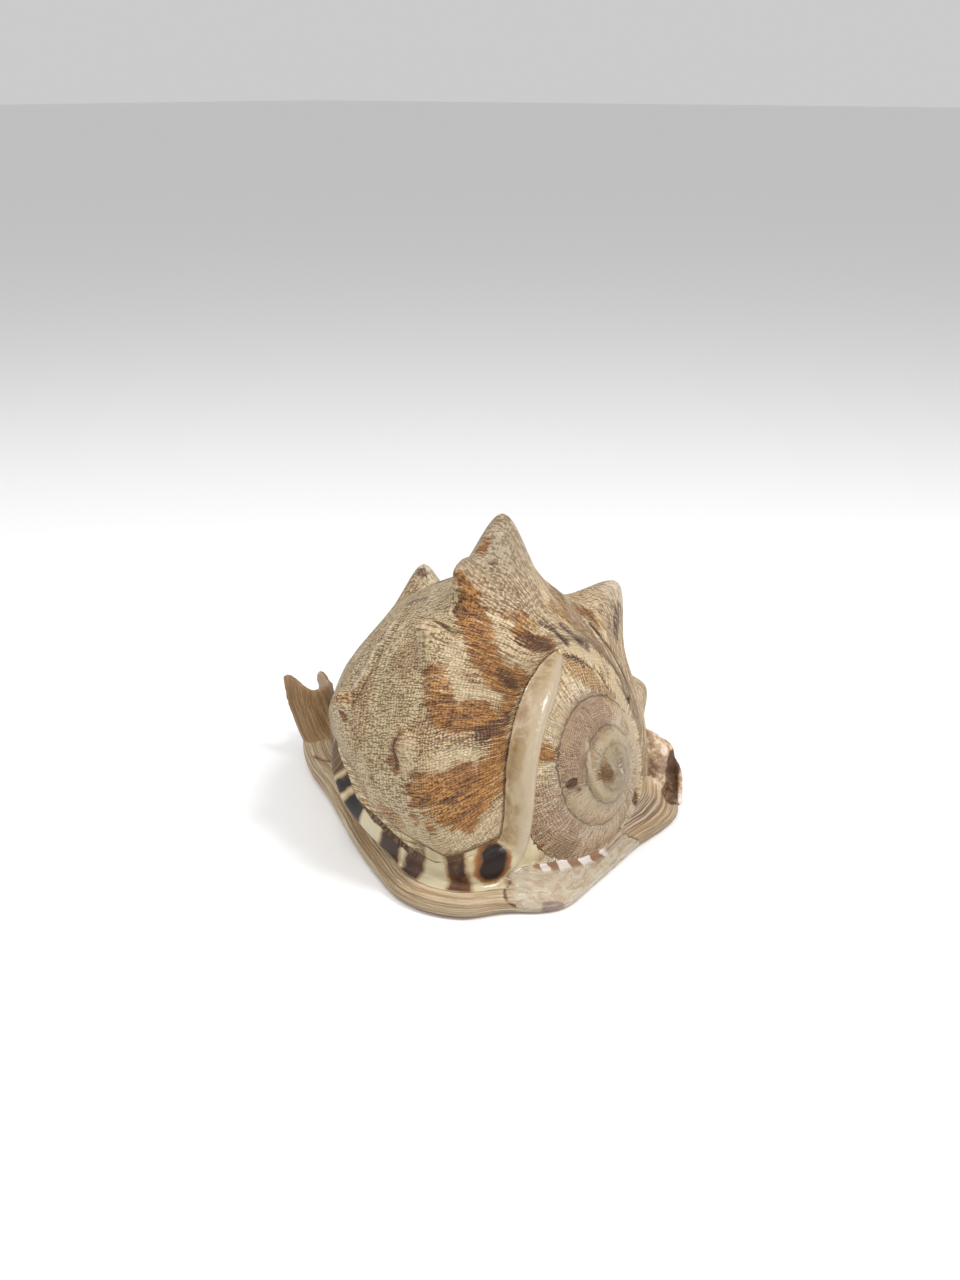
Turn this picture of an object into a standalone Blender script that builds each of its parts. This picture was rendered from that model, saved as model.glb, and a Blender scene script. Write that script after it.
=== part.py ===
"""Horned helmet shell, lying on its aperture with the apex towards +X.

One solid, named shell. X runs along the coiling axis, Y towards the outer lip, Z up.
The spiral, the horns and the lips are worked out in millimetres in the frame of the coiling axis:
a growth angle in degrees clockwise round the axis as seen from the apex, a radius from the axis, and
a distance behind the apex. place() turns them into X, Y and Z above the ground under the apex.
"""

import math

import bmesh
import bpy
import numpy as np
from mathutils import Vector

MM = 0.001

# The coiling axis, in millimetres and degrees
APEX_HEIGHT = 50.0
AXIS_TILT = 12.5
# Each turn of the spiral is this many times larger than the turn before
GROWTH_PER_TURN = 1.673
REFERENCE_ANGLE = 360.0

# Growth stages, as angles on the spiral
FIRST_ANGLE = -1300.0
SPIRE_END_ANGLE = 312.0
LAST_ANGLE = 474.0
# Where the last whorl starts from under the old lip: place along the outline, growth angle
NEW_GROWTH_START = (
    (0.00, 257.0),
    (0.24, 258.0),
    (0.29, 258.0),
    (0.35, 262.0),
    (0.40, 264.0),
    (0.45, 267.5),
    (0.50, 273.5),
    (0.53, 279.0),
    (0.56, 286.0),
    (0.62, 293.0),
    (0.75, 299.0),
    (1.00, 304.0),
)
# The last whorl swells this far above the old lip's whorl, over this many degrees
NEW_GROWTH_BULGE = 3.5
NEW_GROWTH_SPAN = 14.0
# and what it covers of the earlier whorl lies this far inside
COVERED_INSET = 2.0
# The last whorl's shoulder grows slower than the spiral on its way to the outer lip
LATE_ANGLE = 362.0
LATE_SHOULDER_LOSS = 0.15
LATE_SPAN = 36.0
# and its suture climbs over the earlier whorl: place along the outline, change in radius, in depth
CLIMB_ANGLE = 388.0
CLIMB_SPAN = 40.0
CLIMB = (
    (0.0, -19.0, -11.8),
    (0.083, -12.5, -11.6),
    (0.167, -9.0, -9.5),
    (0.25, -2.5, -3.5),
    (0.333, 0.0, 0.0),
)
# The last whorl's edge along the suture stands this far above the earlier whorl
SUTURE_STEP = 1.2
# No part of the whorls goes lower than this; the shield closes them below
WHORL_FLOOR = 5.0

# Outline of one whorl at the reference angle, from the suture to the neck: radius, depth
WHORL_OUTLINE = (
    (55.7, 30.1),
    (63.0, 32.5),
    (78.0, 39.0),
    (89.0, 48.0),
    (93.0, 60.0),
    (91.5, 78.0),
    (87.0, 100.0),
    (78.5, 122.0),
    (65.5, 141.0),
    (49.5, 158.0),
    (33.0, 173.0),
    (22.0, 184.0),
    (13.0, 191.0),
)

# Horns, knobs and, with a height below 0, a dent:
# growth angle, place along the outline, height, radius of the base, lean to the apex
HORNS = (
    (294.0, 0.355, 5.5, 6.0, 0.0),
    (328.0, 0.325, 9.5, 6.5, 0.0),
    (344.0, 0.3, 14.0, 7.0, 0.05),
    (357.0, 0.28, 32.5, 15.0, 0.32),
    (411.0, 0.28, 25.5, 15.0, 0.15),
    (446.0, 0.28, 14.0, 11.5, 0.1),
    (308.0, 0.59, 5.0, 7.0, 0.0),
    (313.0, 0.74, 1.5, 7.0, 0.0),
    (343.0, 0.61, -3.0, 14.0, 0.0),
    (377.0, 0.605, 24.0, 12.5, 0.0),
    (408.0, 0.58, 8.0, 10.0, 0.0),
    (438.0, 0.58, 7.0, 10.0, 0.0),
    (353.0, 0.71, 1.0, 13.0, 0.0),
    (392.0, 0.77, 4.0, 8.0, 0.0),
    (425.0, 0.77, 4.0, 8.0, 0.0),
)
HORN_SHARPNESS = 1.9

# Route of the old lip over the earlier whorl: clock angle, radius, depth, half width, half height
OLD_LIP = (
    (362.0, 53.5, 28.5, 1.5, 1.6),
    (355.0, 51.5, 27.8, 4.0, 3.2),
    (345.0, 48.6, 26.6, 6.2, 4.4),
    (330.0, 46.4, 25.2, 7.8, 5.0),
    (305.0, 45.2, 24.3, 7.8, 5.2),
    (280.0, 46.8, 24.0, 7.2, 5.2),
    (262.0, 50.5, 25.3, 6.6, 5.2),
    (251.0, 57.0, 28.8, 7.2, 5.4),
    (249.0, 66.0, 33.0, 8.0, 5.4),
    (250.5, 76.0, 42.0, 8.0, 4.6),
    (252.0, 78.5, 57.0, 7.2, 3.6),
    (257.3, 77.5, 73.0, 6.8, 3.0),
    (263.7, 75.0, 88.0, 6.8, 2.8),
    (270.4, 70.5, 102.5, 6.6, 2.8),
    (279.0, 69.0, 110.5, 6.2, 2.6),
    (287.0, 65.0, 118.0, 6.0, 2.6),
    (294.0, 57.0, 129.0, 4.0, 2.4),
)
# The outer lip's end beside the spire, on the same terms as the old lip
LIP_END = (
    (95.0, 62.0, 33.0, 5.0, 4.0),
    (100.0, 68.0, 32.0, 8.0, 6.0),
    (106.0, 72.0, 33.0, 9.0, 7.0),
    (113.0, 76.0, 34.0, 9.5, 7.0),
    (121.0, 80.0, 34.0, 9.5, 6.0),
)
# The thin rolled edge of the outer lip round that end
LIP_ROLL = (
    (97.0, 69.0, 38.0, 2.2, 2.0),
    (99.5, 73.0, 31.5, 3.0, 2.2),
    (102.0, 74.5, 26.5, 3.0, 2.2),
    (106.0, 76.0, 24.0, 3.0, 2.2),
    (112.0, 78.5, 23.0, 3.0, 2.2),
    (118.0, 80.0, 23.0, 3.0, 2.2),
    (123.0, 79.0, 22.0, 3.0, 2.2),
)

# Rim of the shield and the outer lip near the ground:
# x, y, height of the rim's middle, half thickness of the rim, height where it meets the whorls
SHIELD_RIM = (
    (-3.0, 20.0, 3.5, 2.0, 9.0),
    (-3.0, 42.0, 3.5, 2.0, 12.0),
    (-6.0, 58.0, 4.0, 2.5, 16.0),
    (-17.0, 74.0, 5.0, 3.5, 20.0),
    (-34.0, 87.0, 9.0, 7.0, 22.0),
    (-60.0, 94.0, 11.0, 9.0, 22.0),
    (-90.0, 91.0, 11.0, 9.0, 22.0),
    (-120.0, 78.0, 10.0, 8.0, 22.0),
    (-150.0, 58.0, 10.0, 7.0, 22.0),
    (-180.0, 32.0, 11.0, 6.0, 20.0),
    (-200.0, 16.0, 12.0, 5.0, 18.0),
    (-208.0, 3.0, 11.0, 4.0, 18.0),
    (-200.0, -10.0, 9.0, 4.0, 18.0),
    (-180.0, -25.0, 7.0, 4.0, 15.0),
    (-155.0, -38.5, 6.3, 4.0, 14.0),
    (-130.0, -54.0, 5.8, 3.8, 14.0),
    (-105.0, -69.5, 5.4, 3.6, 14.0),
    (-80.0, -82.5, 5.0, 3.4, 14.0),
    (-60.0, -91.0, 4.8, 3.2, 14.0),
    (-42.0, -92.0, 4.8, 3.2, 14.0),
    (-25.0, -85.0, 4.8, 3.2, 14.0),
    (-14.0, -70.0, 4.4, 2.8, 14.0),
    (-1.5, -59.0, 3.6, 1.9, 13.0),
    (4.0, -47.0, 3.4, 1.8, 11.0),
    (2.0, -24.0, 3.4, 1.8, 8.0),
    (-0.5, -2.0, 3.4, 1.8, 7.0),
)
SHIELD_CENTRE = (-88.0, 4.0)
# How far out, from 0 to 1, the rings of the underside and of the upper side lie
UNDERSIDE_RINGS = (0.02, 0.1, 0.2, 0.3, 0.4, 0.5, 0.6, 0.68, 0.76, 0.84, 0.9, 0.94, 0.97)
UPPER_SIDE_RINGS = (0.9, 0.8, 0.6, 0.3, 0.02)
# Swellings of the underside that carry the shell: middle, half length, half width
CONTACTS = (
    (-66.0, -40.0, 62.0, 34.0),
    (-72.0, 62.0, 60.0, 26.0),
    (-168.0, -12.0, 26.0, 16.0),
    (-26.0, 2.0, 18.0, 40.0),
)
CONTACT_LOW = 0.3
CONTACT_CURVE = 1.4
UNDERSIDE_HEIGHT = 3.4
# The swellings are worn flat at this height
CONTACT_HEIGHT = 1.0

# The upturned canal: route of the middle of its back wall, its half width
CANAL = (
    (-148.0, 2.0, 18.0, 12.0),
    (-168.0, 2.0, 17.0, 13.0),
    (-184.0, 2.0, 21.0, 13.0),
    (-192.0, 3.0, 31.0, 13.2),
    (-195.0, 3.0, 40.5, 13.2),
)
CANAL_WALL = 3.6
CANAL_THINNING = 0.3
CANAL_SWEEP = 108.0
# How far its two edges stand above the notch in its end, and over what part of the sweep
CANAL_LOBES = ((-11.0, 25.0, 60.0), (6.0, 60.0, 30.0))
CANAL_CORNER = 2.5

# The aperture: x, y, half width and height of the slit between the shield and the outer lip
APERTURE = (
    (-24.0, 34.0, 2.5, 22.0),
    (-40.0, 28.0, 5.0, 26.0),
    (-66.0, 22.0, 7.0, 30.0),
    (-100.0, 17.0, 8.0, 32.0),
    (-132.0, 11.0, 8.0, 26.0),
    (-156.0, 6.0, 7.0, 15.0),
    (-175.0, 3.0, 6.5, 12.0),
    (-192.0, 3.0, 6.5, 15.0),
    (-218.0, 3.0, 7.5, 22.0),
)
# Height and relative width of the slit's rings, below its top
APERTURE_FLARE = ((-4.0, 1.35), (0.0, 1.2), (5.0, 1.0), (9.0, 0.9))
TEETH = 7
TOOTH_LENGTH = 3.0
TEETH_FIRST = 0.10
TEETH_SPAN = 0.70

# The room inside the last whorl
WALL = 5.2
INNER_WALL = 2.0
HOLLOW_FIRST_ANGLE = 20.0
HOLLOW_TAPER_SPAN = 40.0
HOLLOW_FLOOR = 11.5
HOLLOW_OUTER = (0.14, 0.77)
HOLLOW_INNER = (0.42, 0.80)
# The room above the outer lip: centre and radii
LIP_ROOM = (-84.0, 43.0, 26.0)
LIP_ROOM_RADII = (48.0, 29.0, 14.0)

# Fineness of the fused skin
VOXEL = 1.6
SHELL_TRIANGLES = 7400
HOLLOW_TRIANGLES = 1800
SHARP_ANGLE = 50.0

# The ivory and tan of the outside
COLOUR = (0.62, 0.48, 0.33, 1.0)
ROUGHNESS = 0.35


def growth(angle):
    """Size of the spiral at a growth angle, against its size at the reference angle."""
    return GROWTH_PER_TURN ** ((angle - REFERENCE_ANGLE) / 360.0)


def between(a, b, c, d, f):
    """Catmull-Rom blend from b to c."""
    return 0.5 * (2 * b + (c - a) * f + (2 * a - 5 * b + 4 * c - d) * f**2 + (3 * b - a - 3 * c + d) * f**3)


def smooth_curve(points, t):
    """Points at t, from 0 to 1, on a smooth curve through the given rows."""
    rows = np.asarray(points, float)
    last = len(rows) - 1
    x = np.clip(np.asarray(t, float), 0.0, 1.0) * last
    i = np.minimum(x.astype(int), last - 1)
    f = (x - i)[..., None]
    return between(rows[np.maximum(i - 1, 0)], rows[i], rows[i + 1], rows[np.minimum(i + 2, last)], f)


def smooth_loop(points, t):
    """The same on a closed loop, t from 0 to 1 all round."""
    rows = np.asarray(points, float)
    count = len(rows)
    x = (np.asarray(t, float) % 1.0) * count
    i = x.astype(int) % count
    f = (x - np.floor(x))[..., None]
    return between(rows[(i - 1) % count], rows[i], rows[(i + 1) % count], rows[(i + 2) % count], f)


def ease(x):
    x = np.clip(x, 0.0, 1.0)
    return x * x * (3.0 - 2.0 * x)


def unit(vectors):
    return vectors / np.linalg.norm(vectors, axis=-1)[..., None]


def place(clock, radius, depth):
    """Position in millimetres, with the origin on the ground below the apex."""
    c = np.radians(clock)
    tilt = math.radians(AXIS_TILT)
    side = radius * np.sin(c)
    rise = radius * np.cos(c)
    x = -depth * math.cos(tilt) - rise * math.sin(tilt)
    z = APEX_HEIGHT - depth * math.sin(tilt) + rise * math.cos(tilt)
    return np.stack(np.broadcast_arrays(x, side, z), axis=-1)


def whorl_surface(angle, t, inset=0.0):
    """A point of the whorl's smooth outside at a growth angle and a place along its outline."""
    outline = smooth_curve(WHORL_OUTLINE, t)
    late = np.maximum(angle - LATE_ANGLE, 0.0)
    early = growth(np.minimum(angle, LATE_ANGLE))
    neck = ease((t - 0.25) / 0.55)
    scale = early * GROWTH_PER_TURN ** (late / 360.0 * (1.0 - 0.85 * neck))
    loss = 1.0 - LATE_SHOULDER_LOSS * ease(late / LATE_SPAN) * ease(t / 0.15)
    climb = smooth_curve(CLIMB, t / CLIMB[-1][0]) * ease((angle - CLIMB_ANGLE) / CLIMB_SPAN)[..., None]
    radius = outline[..., 0] * scale * loss + climb[..., 1] - inset
    return place(angle, radius, outline[..., 1] * scale + climb[..., 2])


def horn_offsets(points):
    """How far the horns push each point of the last whorl, and which way."""
    offset = np.zeros_like(points)
    for angle, t, height, radius, lean in HORNS:
        foot = whorl_surface(np.array(angle), np.array(t))
        out = unit(place(angle, 1.0, -lean) - place(0.0, 0.0, 0.0))
        distance = np.linalg.norm(points - foot, axis=-1)
        lift = height * np.exp(-((distance / radius) ** HORN_SHARPNESS))
        offset += lift[..., None] * out
    return offset


def last_whorl_grid(turns, steps):
    """Growth angle, place along the outline and position of a grid of points on the last whorl."""
    a, t = np.meshgrid(np.linspace(0.0, 1.0, turns), np.linspace(0.0, 1.0, steps), indexing="ij")
    start = np.interp(t, *np.array(NEW_GROWTH_START).T)
    a = start + (LAST_ANGLE - start) * a
    since = (a - start) / NEW_GROWTH_SPAN
    bulge = NEW_GROWTH_BULGE * np.sqrt(np.clip(since, 0.0, 1.0)) * (1.0 - 0.6 * ease((since - 1.0) / 3.0))
    edge = SUTURE_STEP * ease((a - 345.0) / 25.0) * (1.0 - ease(t / 0.3))
    bulge = bulge * ease((t - 0.05) / 0.2) + edge - COVERED_INSET * (since <= 0.0)
    points = whorl_surface(a, t, -bulge)
    return a, t, points + horn_offsets(points)


def closed_sweep(grid):
    """Closes each section of a whorl along the coiling axis, down to the floor of the whorls."""
    origin = place(0.0, 0.0, 0.0)
    axis = origin - place(0.0, 0.0, 1.0)
    ends = [origin + ((grid[:, k] - origin) @ axis)[:, None] * axis for k in (0, -1)]
    ring = np.concatenate([ends[0][:, None], grid, ends[1][:, None]], axis=1)
    ring[..., 2] = np.maximum(ring[..., 2], WHORL_FLOOR)
    return ring


def ring_mesh(name, rings, seam=False):
    """A closed mesh from rings of points. Each end has a fan to its middle, or a seam between its two sides."""
    count, around = rings.shape[:2]
    bm = bmesh.new()
    verts = [[bm.verts.new(Vector(p) * MM) for p in ring] for ring in rings]
    for i in range(count - 1):
        for j in range(around):
            k = (j + 1) % around
            bm.faces.new((verts[i][j], verts[i][k], verts[i + 1][k], verts[i + 1][j]))
    for row in (0, -1):
        ring = verts[row]
        if seam:
            for j in range(around // 2 - 1):
                bm.faces.new((ring[j], ring[j + 1], ring[around - 2 - j], ring[around - 1 - j]))
            continue
        middle = bm.verts.new(Vector(rings[row].mean(axis=0)) * MM)
        for j in range(around):
            bm.faces.new((ring[j], middle, ring[(j + 1) % around]))
    bmesh.ops.recalc_face_normals(bm, faces=bm.faces)
    mesh = bpy.data.meshes.new(name)
    bm.to_mesh(mesh)
    bm.free()
    obj = bpy.data.objects.new(name, mesh)
    bpy.context.scene.collection.objects.link(obj)
    return obj


def spire():
    """The earlier whorls, up to the old lip."""
    a, t = np.meshgrid(np.linspace(FIRST_ANGLE, SPIRE_END_ANGLE, 260), np.linspace(0.0, 1.0, 60), indexing="ij")
    under = COVERED_INSET * ease((a - np.interp(t, *np.array(NEW_GROWTH_START).T)) / 3.0)
    return ring_mesh("spire", closed_sweep(whorl_surface(a, t, under)))


def last_whorl():
    return ring_mesh("last_whorl", closed_sweep(last_whorl_grid(190, 120)[2]))


def band(name, route, steps, sides):
    """A rounded band that lies on the whorl along a route."""
    rows = smooth_curve(route, np.linspace(0.0, 1.0, steps))
    centre = place(rows[:, 0], rows[:, 1], rows[:, 2])
    axis = place(rows[:, 0], 0.0 * rows[:, 1], rows[:, 2] + 0.35 * rows[:, 1])
    along = unit(np.gradient(centre, axis=0))
    out = centre - axis
    out = unit(out - (out * along).sum(axis=1)[:, None] * along)
    across = np.cross(along, out)
    turn = np.linspace(0.0, 2 * math.pi, sides, endpoint=False)
    wide = np.sign(np.cos(turn)) * np.abs(np.cos(turn)) ** 0.8
    high = np.sign(np.sin(turn)) * np.abs(np.sin(turn)) ** 0.8
    rings = (
        centre[:, None]
        + rows[:, 3][:, None, None] * wide[None, :, None] * across[:, None]
        + rows[:, 4][:, None, None] * high[None, :, None] * out[:, None]
    )
    return ring_mesh(name, rings)


def underside(flat):
    """Height of the underside, which touches the ground on a few worn swellings."""
    height = np.full(len(flat), UNDERSIDE_HEIGHT)
    for x, y, along, across in CONTACTS:
        reach = ((flat[:, 0] - x) / along) ** 2 + ((flat[:, 1] - y) / across) ** 2
        height = np.minimum(height, CONTACT_LOW + CONTACT_CURVE * reach)
    return height


def shield():
    """The broad base: the shield on the parietal side and the outer lip on the other."""
    rim = smooth_loop(SHIELD_RIM, np.linspace(0.0, 1.0, 160, endpoint=False))
    height = rim[:, 2]
    thick = rim[:, 3]
    centre = np.array(SHIELD_CENTRE)
    out = unit(rim[:, :2] - centre)
    rings = []
    for q in UNDERSIDE_RINGS:
        flat = centre + q * (rim[:, :2] - centre)
        bottom = underside(flat)
        edge = np.clip((q - 0.6) / 0.4, 0.0, 1.0) ** 2
        rings.append(np.column_stack([flat, bottom + (height - thick - bottom) * edge]))
    for turn in np.linspace(-math.pi / 2, math.pi / 2, 9):
        flat = rim[:, :2] - thick[:, None] * (1.0 - math.cos(turn)) * out
        rings.append(np.column_stack([flat, height + thick * math.sin(turn)]))
    for q in UPPER_SIDE_RINGS:
        flat = centre + q * (rim[:, :2] - centre)
        rise = np.clip((0.96 - q) / 0.16, 0.0, 1.0)
        rings.append(np.column_stack([flat, height + thick + (rim[:, 4] - height - thick) * rise]))
    return ring_mesh("shield", np.array(rings))


def canal_lobe(sweep):
    """How far the gutter's end stands above its notch at an angle round it."""
    height = 0.0
    for lobe, start, span in CANAL_LOBES:
        turned = math.degrees(sweep) * math.copysign(1.0, lobe)
        height = max(height, abs(lobe) * float(ease((turned - start) / span)))
    past = (abs(math.degrees(sweep)) - 92.0) / (CANAL_SWEEP - 92.0)
    return height - CANAL_CORNER * max(past, 0.0) ** 2


def canal():
    """A gutter that turns up, open to the front, with a notch in the end of its back wall."""
    rows = smooth_curve(CANAL, np.linspace(0.0, 1.0, 40))
    centre = rows[:, :3]
    along = unit(np.gradient(centre, axis=0))
    side = np.array([0.0, 1.0, 0.0])
    front = np.cross(side, along)
    front *= -np.sign(front[-1, 0])
    sweep = np.radians(np.linspace(-CANAL_SWEEP, CANAL_SWEEP, 40))
    rings = []
    for i, row in enumerate(rows):
        end = ease((i / (len(rows) - 1) - 0.35) / 0.65)
        wall = CANAL_WALL * (1.0 - CANAL_THINNING * end)
        ring = []
        for radius, course in ((row[3], sweep), (row[3] - wall, sweep[::-1])):
            for p in course:
                spot = centre[i] + front[i] * (row[3] - radius * math.cos(p))
                ring.append(spot + side * radius * math.sin(p) + along[i] * end * canal_lobe(p))
        rings.append(ring)
    return ring_mesh("canal", np.array(rings), seam=True)


def aperture_slit():
    """A cutter with the toothed outline of the aperture, from below the base up into the hollow."""
    along = np.linspace(0.0, 1.0, 120)
    rows = smooth_curve(APERTURE, along)
    middle = rows[:, :2]
    half = rows[:, 2]
    course = unit(np.gradient(middle, axis=0))
    side = np.column_stack([course[:, 1], -course[:, 0]])
    toothed = ease((along - TEETH_FIRST + 0.02) / 0.08) * ease((TEETH_FIRST + TEETH_SPAN - 0.02 - along) / 0.08)
    wave = np.sin(TEETH * 2 * math.pi * (along - TEETH_FIRST) / TEETH_SPAN)
    tooth = TOOTH_LENGTH * toothed * np.maximum(wave, 0.0)
    lip_side = middle + (half - tooth)[:, None] * side
    shield_side = middle - half[:, None] * side
    outline = np.concatenate([lip_side, shield_side[::-1]])
    centre = np.concatenate([middle, middle[::-1]])
    top = np.concatenate([rows[:, 3], rows[::-1, 3]])
    rings = []
    for z, spread in APERTURE_FLARE:
        flat = centre + spread * (outline - centre)
        rings.append(np.column_stack([flat, np.full(len(flat), z)]))
    rings.append(np.column_stack([flat, top]))
    return ring_mesh("aperture_slit", np.array(rings), seam=True)


def hollow():
    """A cutter with the shape of the room inside the last whorl."""
    a, u = np.meshgrid(np.linspace(HOLLOW_FIRST_ANGLE, LAST_ANGLE, 160), np.linspace(0.0, 1.0, 40), indexing="ij")
    t = np.interp(u, (0.0, 1.0), HOLLOW_OUTER)
    forward = place(0.0, 0.0, 1.0) - place(0.0, 0.0, 0.0)
    deeper = WALL * (1.0 - ease((t - 0.2) / 0.2))
    outer = whorl_surface(a, t, WALL) + deeper[..., None] * forward
    inner = whorl_surface(a - 360.0, np.interp(u, (0.0, 1.0), HOLLOW_INNER), -INNER_WALL)
    middle = 0.5 * (outer + inner)
    narrow = 0.8 * (1.0 - ease((a - HOLLOW_FIRST_ANGLE) / HOLLOW_TAPER_SPAN))[..., None]
    outer = outer + (middle - outer) * narrow
    inner = inner + (middle - inner) * narrow
    rings = np.concatenate([outer, inner[:, ::-1]], axis=1)
    rings[..., 2] = np.maximum(rings[..., 2], HOLLOW_FLOOR)
    return ring_mesh("hollow", rings, seam=True)


def lip_room():
    """A cutter for the room between the outer lip and the slit."""
    bpy.ops.mesh.primitive_uv_sphere_add(segments=48, ring_count=24, radius=1.0, location=(0.0, 0.0, 0.0))
    room = bpy.context.object
    room.name = "lip_room"
    for vertex in room.data.vertices:
        vertex.co = Vector([c + r * v for c, r, v in zip(LIP_ROOM, LIP_ROOM_RADII, vertex.co)]) * MM
    return room


def join(objects, name):
    bpy.ops.object.select_all(action="DESELECT")
    for obj in objects:
        obj.select_set(True)
    bpy.context.view_layer.objects.active = objects[0]
    bpy.ops.object.join()
    objects[0].name = name
    return objects[0]


def apply_modifier(obj, kind, **settings):
    modifier = obj.modifiers.new(kind.title(), kind)
    for key, value in settings.items():
        setattr(modifier, key, value)
    bpy.context.view_layer.objects.active = obj
    bpy.ops.object.modifier_apply(modifier=modifier.name)


def keep_largest_skin(obj):
    """Drops every closed skin but the largest, such as one round a bubble inside."""
    bm = bmesh.new()
    bm.from_mesh(obj.data)
    left = set(bm.verts)
    skins = []
    while left:
        skin = {left.pop()}
        front = list(skin)
        while front:
            for edge in front.pop().link_edges:
                for vert in edge.verts:
                    if vert not in skin:
                        skin.add(vert)
                        front.append(vert)
        left -= skin
        skins.append(skin)
    skins.sort(key=len)
    bmesh.ops.delete(bm, geom=[vert for skin in skins[:-1] for vert in skin], context="VERTS")
    bm.to_mesh(obj.data)
    bm.free()


def fused(objects, name, triangles):
    """One closed skin round all the objects, thinned to about this many triangles."""
    obj = join(objects, name)
    apply_modifier(obj, "REMESH", mode="VOXEL", voxel_size=VOXEL * MM)
    keep_largest_skin(obj)
    have = sum(len(face.vertices) - 2 for face in obj.data.polygons)
    apply_modifier(obj, "DECIMATE", ratio=triangles / have, use_collapse_triangulate=True)
    return obj


def set_down(obj):
    """Wears the base flat where it touches the ground, and moves the origin to the middle of the base."""
    bm = bmesh.new()
    bm.from_mesh(obj.data)
    plane = Vector((0.0, 0.0, CONTACT_HEIGHT * MM))
    geometry = bm.verts[:] + bm.edges[:] + bm.faces[:]
    cut = bmesh.ops.bisect_plane(bm, geom=geometry, plane_co=plane, plane_no=(0.0, 0.0, -1.0), clear_outer=True)
    edges = [item for item in cut["geom_cut"] if isinstance(item, bmesh.types.BMEdge)]
    bmesh.ops.holes_fill(bm, edges=edges)
    bmesh.ops.triangulate(bm, faces=bm.faces)
    points = np.array([vert.co for vert in bm.verts])
    middle = 0.5 * (points.min(axis=0) + points.max(axis=0))
    bmesh.ops.translate(bm, verts=bm.verts, vec=(-middle[0], -middle[1], -CONTACT_HEIGHT * MM))
    bm.to_mesh(obj.data)
    bm.free()


def finish(obj):
    """Colour and smooth shading."""
    material = bpy.data.materials.new("horned_helmet_shell")
    material.use_nodes = True
    surface = material.node_tree.nodes["Principled BSDF"]
    surface.inputs["Base Color"].default_value = COLOUR
    surface.inputs["Roughness"].default_value = ROUGHNESS
    surface.inputs["Metallic"].default_value = 0.0
    obj.data.materials.clear()
    obj.data.materials.append(material)
    obj.data.shade_smooth()
    obj.data.set_sharp_from_angle(angle=math.radians(SHARP_ANGLE))


def main():
    for obj in list(bpy.data.objects):
        bpy.data.objects.remove(obj)
    skin = [
        spire(),
        last_whorl(),
        band("old_lip", OLD_LIP, 120, 20),
        band("lip_end", LIP_END, 40, 20),
        band("lip_roll", LIP_ROLL, 60, 12),
        shield(),
        canal(),
    ]
    shell = fused(skin, "shell", SHELL_TRIANGLES)
    room = fused([aperture_slit(), hollow(), lip_room()], "room", HOLLOW_TRIANGLES)
    room.hide_render = True
    room.display_type = "WIRE"
    apply_modifier(shell, "BOOLEAN", operation="DIFFERENCE", object=room)
    keep_largest_skin(shell)
    set_down(shell)
    finish(shell)


main()
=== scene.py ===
"""Horned helmet shell: the finished looks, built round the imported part.

The whorls, the lips and the shield are worked out in millimetres in the frame of the coiling axis:
a growth angle in degrees clockwise round the axis as seen from the apex, a radius from the axis, and
a distance behind the apex. place() turns them into X, Y and Z above the ground under the apex, and
SET_DOWN moves them to the middle of the part's base.
"""

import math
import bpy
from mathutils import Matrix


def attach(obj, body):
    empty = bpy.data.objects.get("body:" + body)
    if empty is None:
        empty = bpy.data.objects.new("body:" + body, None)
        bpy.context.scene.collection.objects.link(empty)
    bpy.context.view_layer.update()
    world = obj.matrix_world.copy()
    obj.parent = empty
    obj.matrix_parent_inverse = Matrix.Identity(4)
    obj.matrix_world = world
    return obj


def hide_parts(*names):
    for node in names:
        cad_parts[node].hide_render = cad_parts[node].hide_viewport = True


bl_info = {
    "name": "Horned helmet shell",
    "version": (1, 0, 0),
    "blender": (4, 5, 0),
    "location": "3D View > Sidebar > Shell",
    "description": "Builds a horned helmet shell, its markings and a plain stage",
    "category": "Object",
}

import bpy
import numpy as np
from mathutils import Vector
from mathutils.bvhtree import BVHTree

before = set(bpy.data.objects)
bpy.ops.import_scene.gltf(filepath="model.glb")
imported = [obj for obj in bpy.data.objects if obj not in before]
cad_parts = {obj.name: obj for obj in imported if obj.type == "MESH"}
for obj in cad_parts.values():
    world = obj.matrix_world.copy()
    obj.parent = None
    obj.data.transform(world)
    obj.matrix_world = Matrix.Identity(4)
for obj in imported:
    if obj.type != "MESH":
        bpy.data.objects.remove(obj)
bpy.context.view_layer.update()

MM = 0.001

# The coiling axis, in millimetres and degrees, and the way to the middle of the part's base
APEX_HEIGHT = 50.0
AXIS_TILT = 12.5
SET_DOWN = np.array([105.4, -4.45, -1.0])
# Each turn of the spiral is this many times larger than the turn before
GROWTH_PER_TURN = 1.673
REFERENCE_ANGLE = 360.0

# Growth stages, as angles on the spiral
FIRST_ANGLE = -1300.0
SPIRE_END_ANGLE = 312.0
LAST_ANGLE = 474.0
# Where the last whorl starts from under the old lip: place along the outline, growth angle
NEW_GROWTH_START = (
    (0.00, 257.0),
    (0.24, 258.0),
    (0.29, 258.0),
    (0.35, 262.0),
    (0.40, 264.0),
    (0.45, 267.5),
    (0.50, 273.5),
    (0.53, 279.0),
    (0.56, 286.0),
    (0.62, 293.0),
    (0.75, 299.0),
    (1.00, 304.0),
)
# The last whorl swells this far above the old lip's whorl, over this many degrees,
# and what it covers of the earlier whorl lies this far inside
NEW_GROWTH_BULGE = 3.5
NEW_GROWTH_SPAN = 14.0
COVERED_INSET = 2.0
# The last whorl's shoulder grows slower than the spiral on its way to the outer lip,
LATE_ANGLE = 362.0
LATE_SHOULDER_LOSS = 0.15
LATE_SPAN = 36.0
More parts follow.
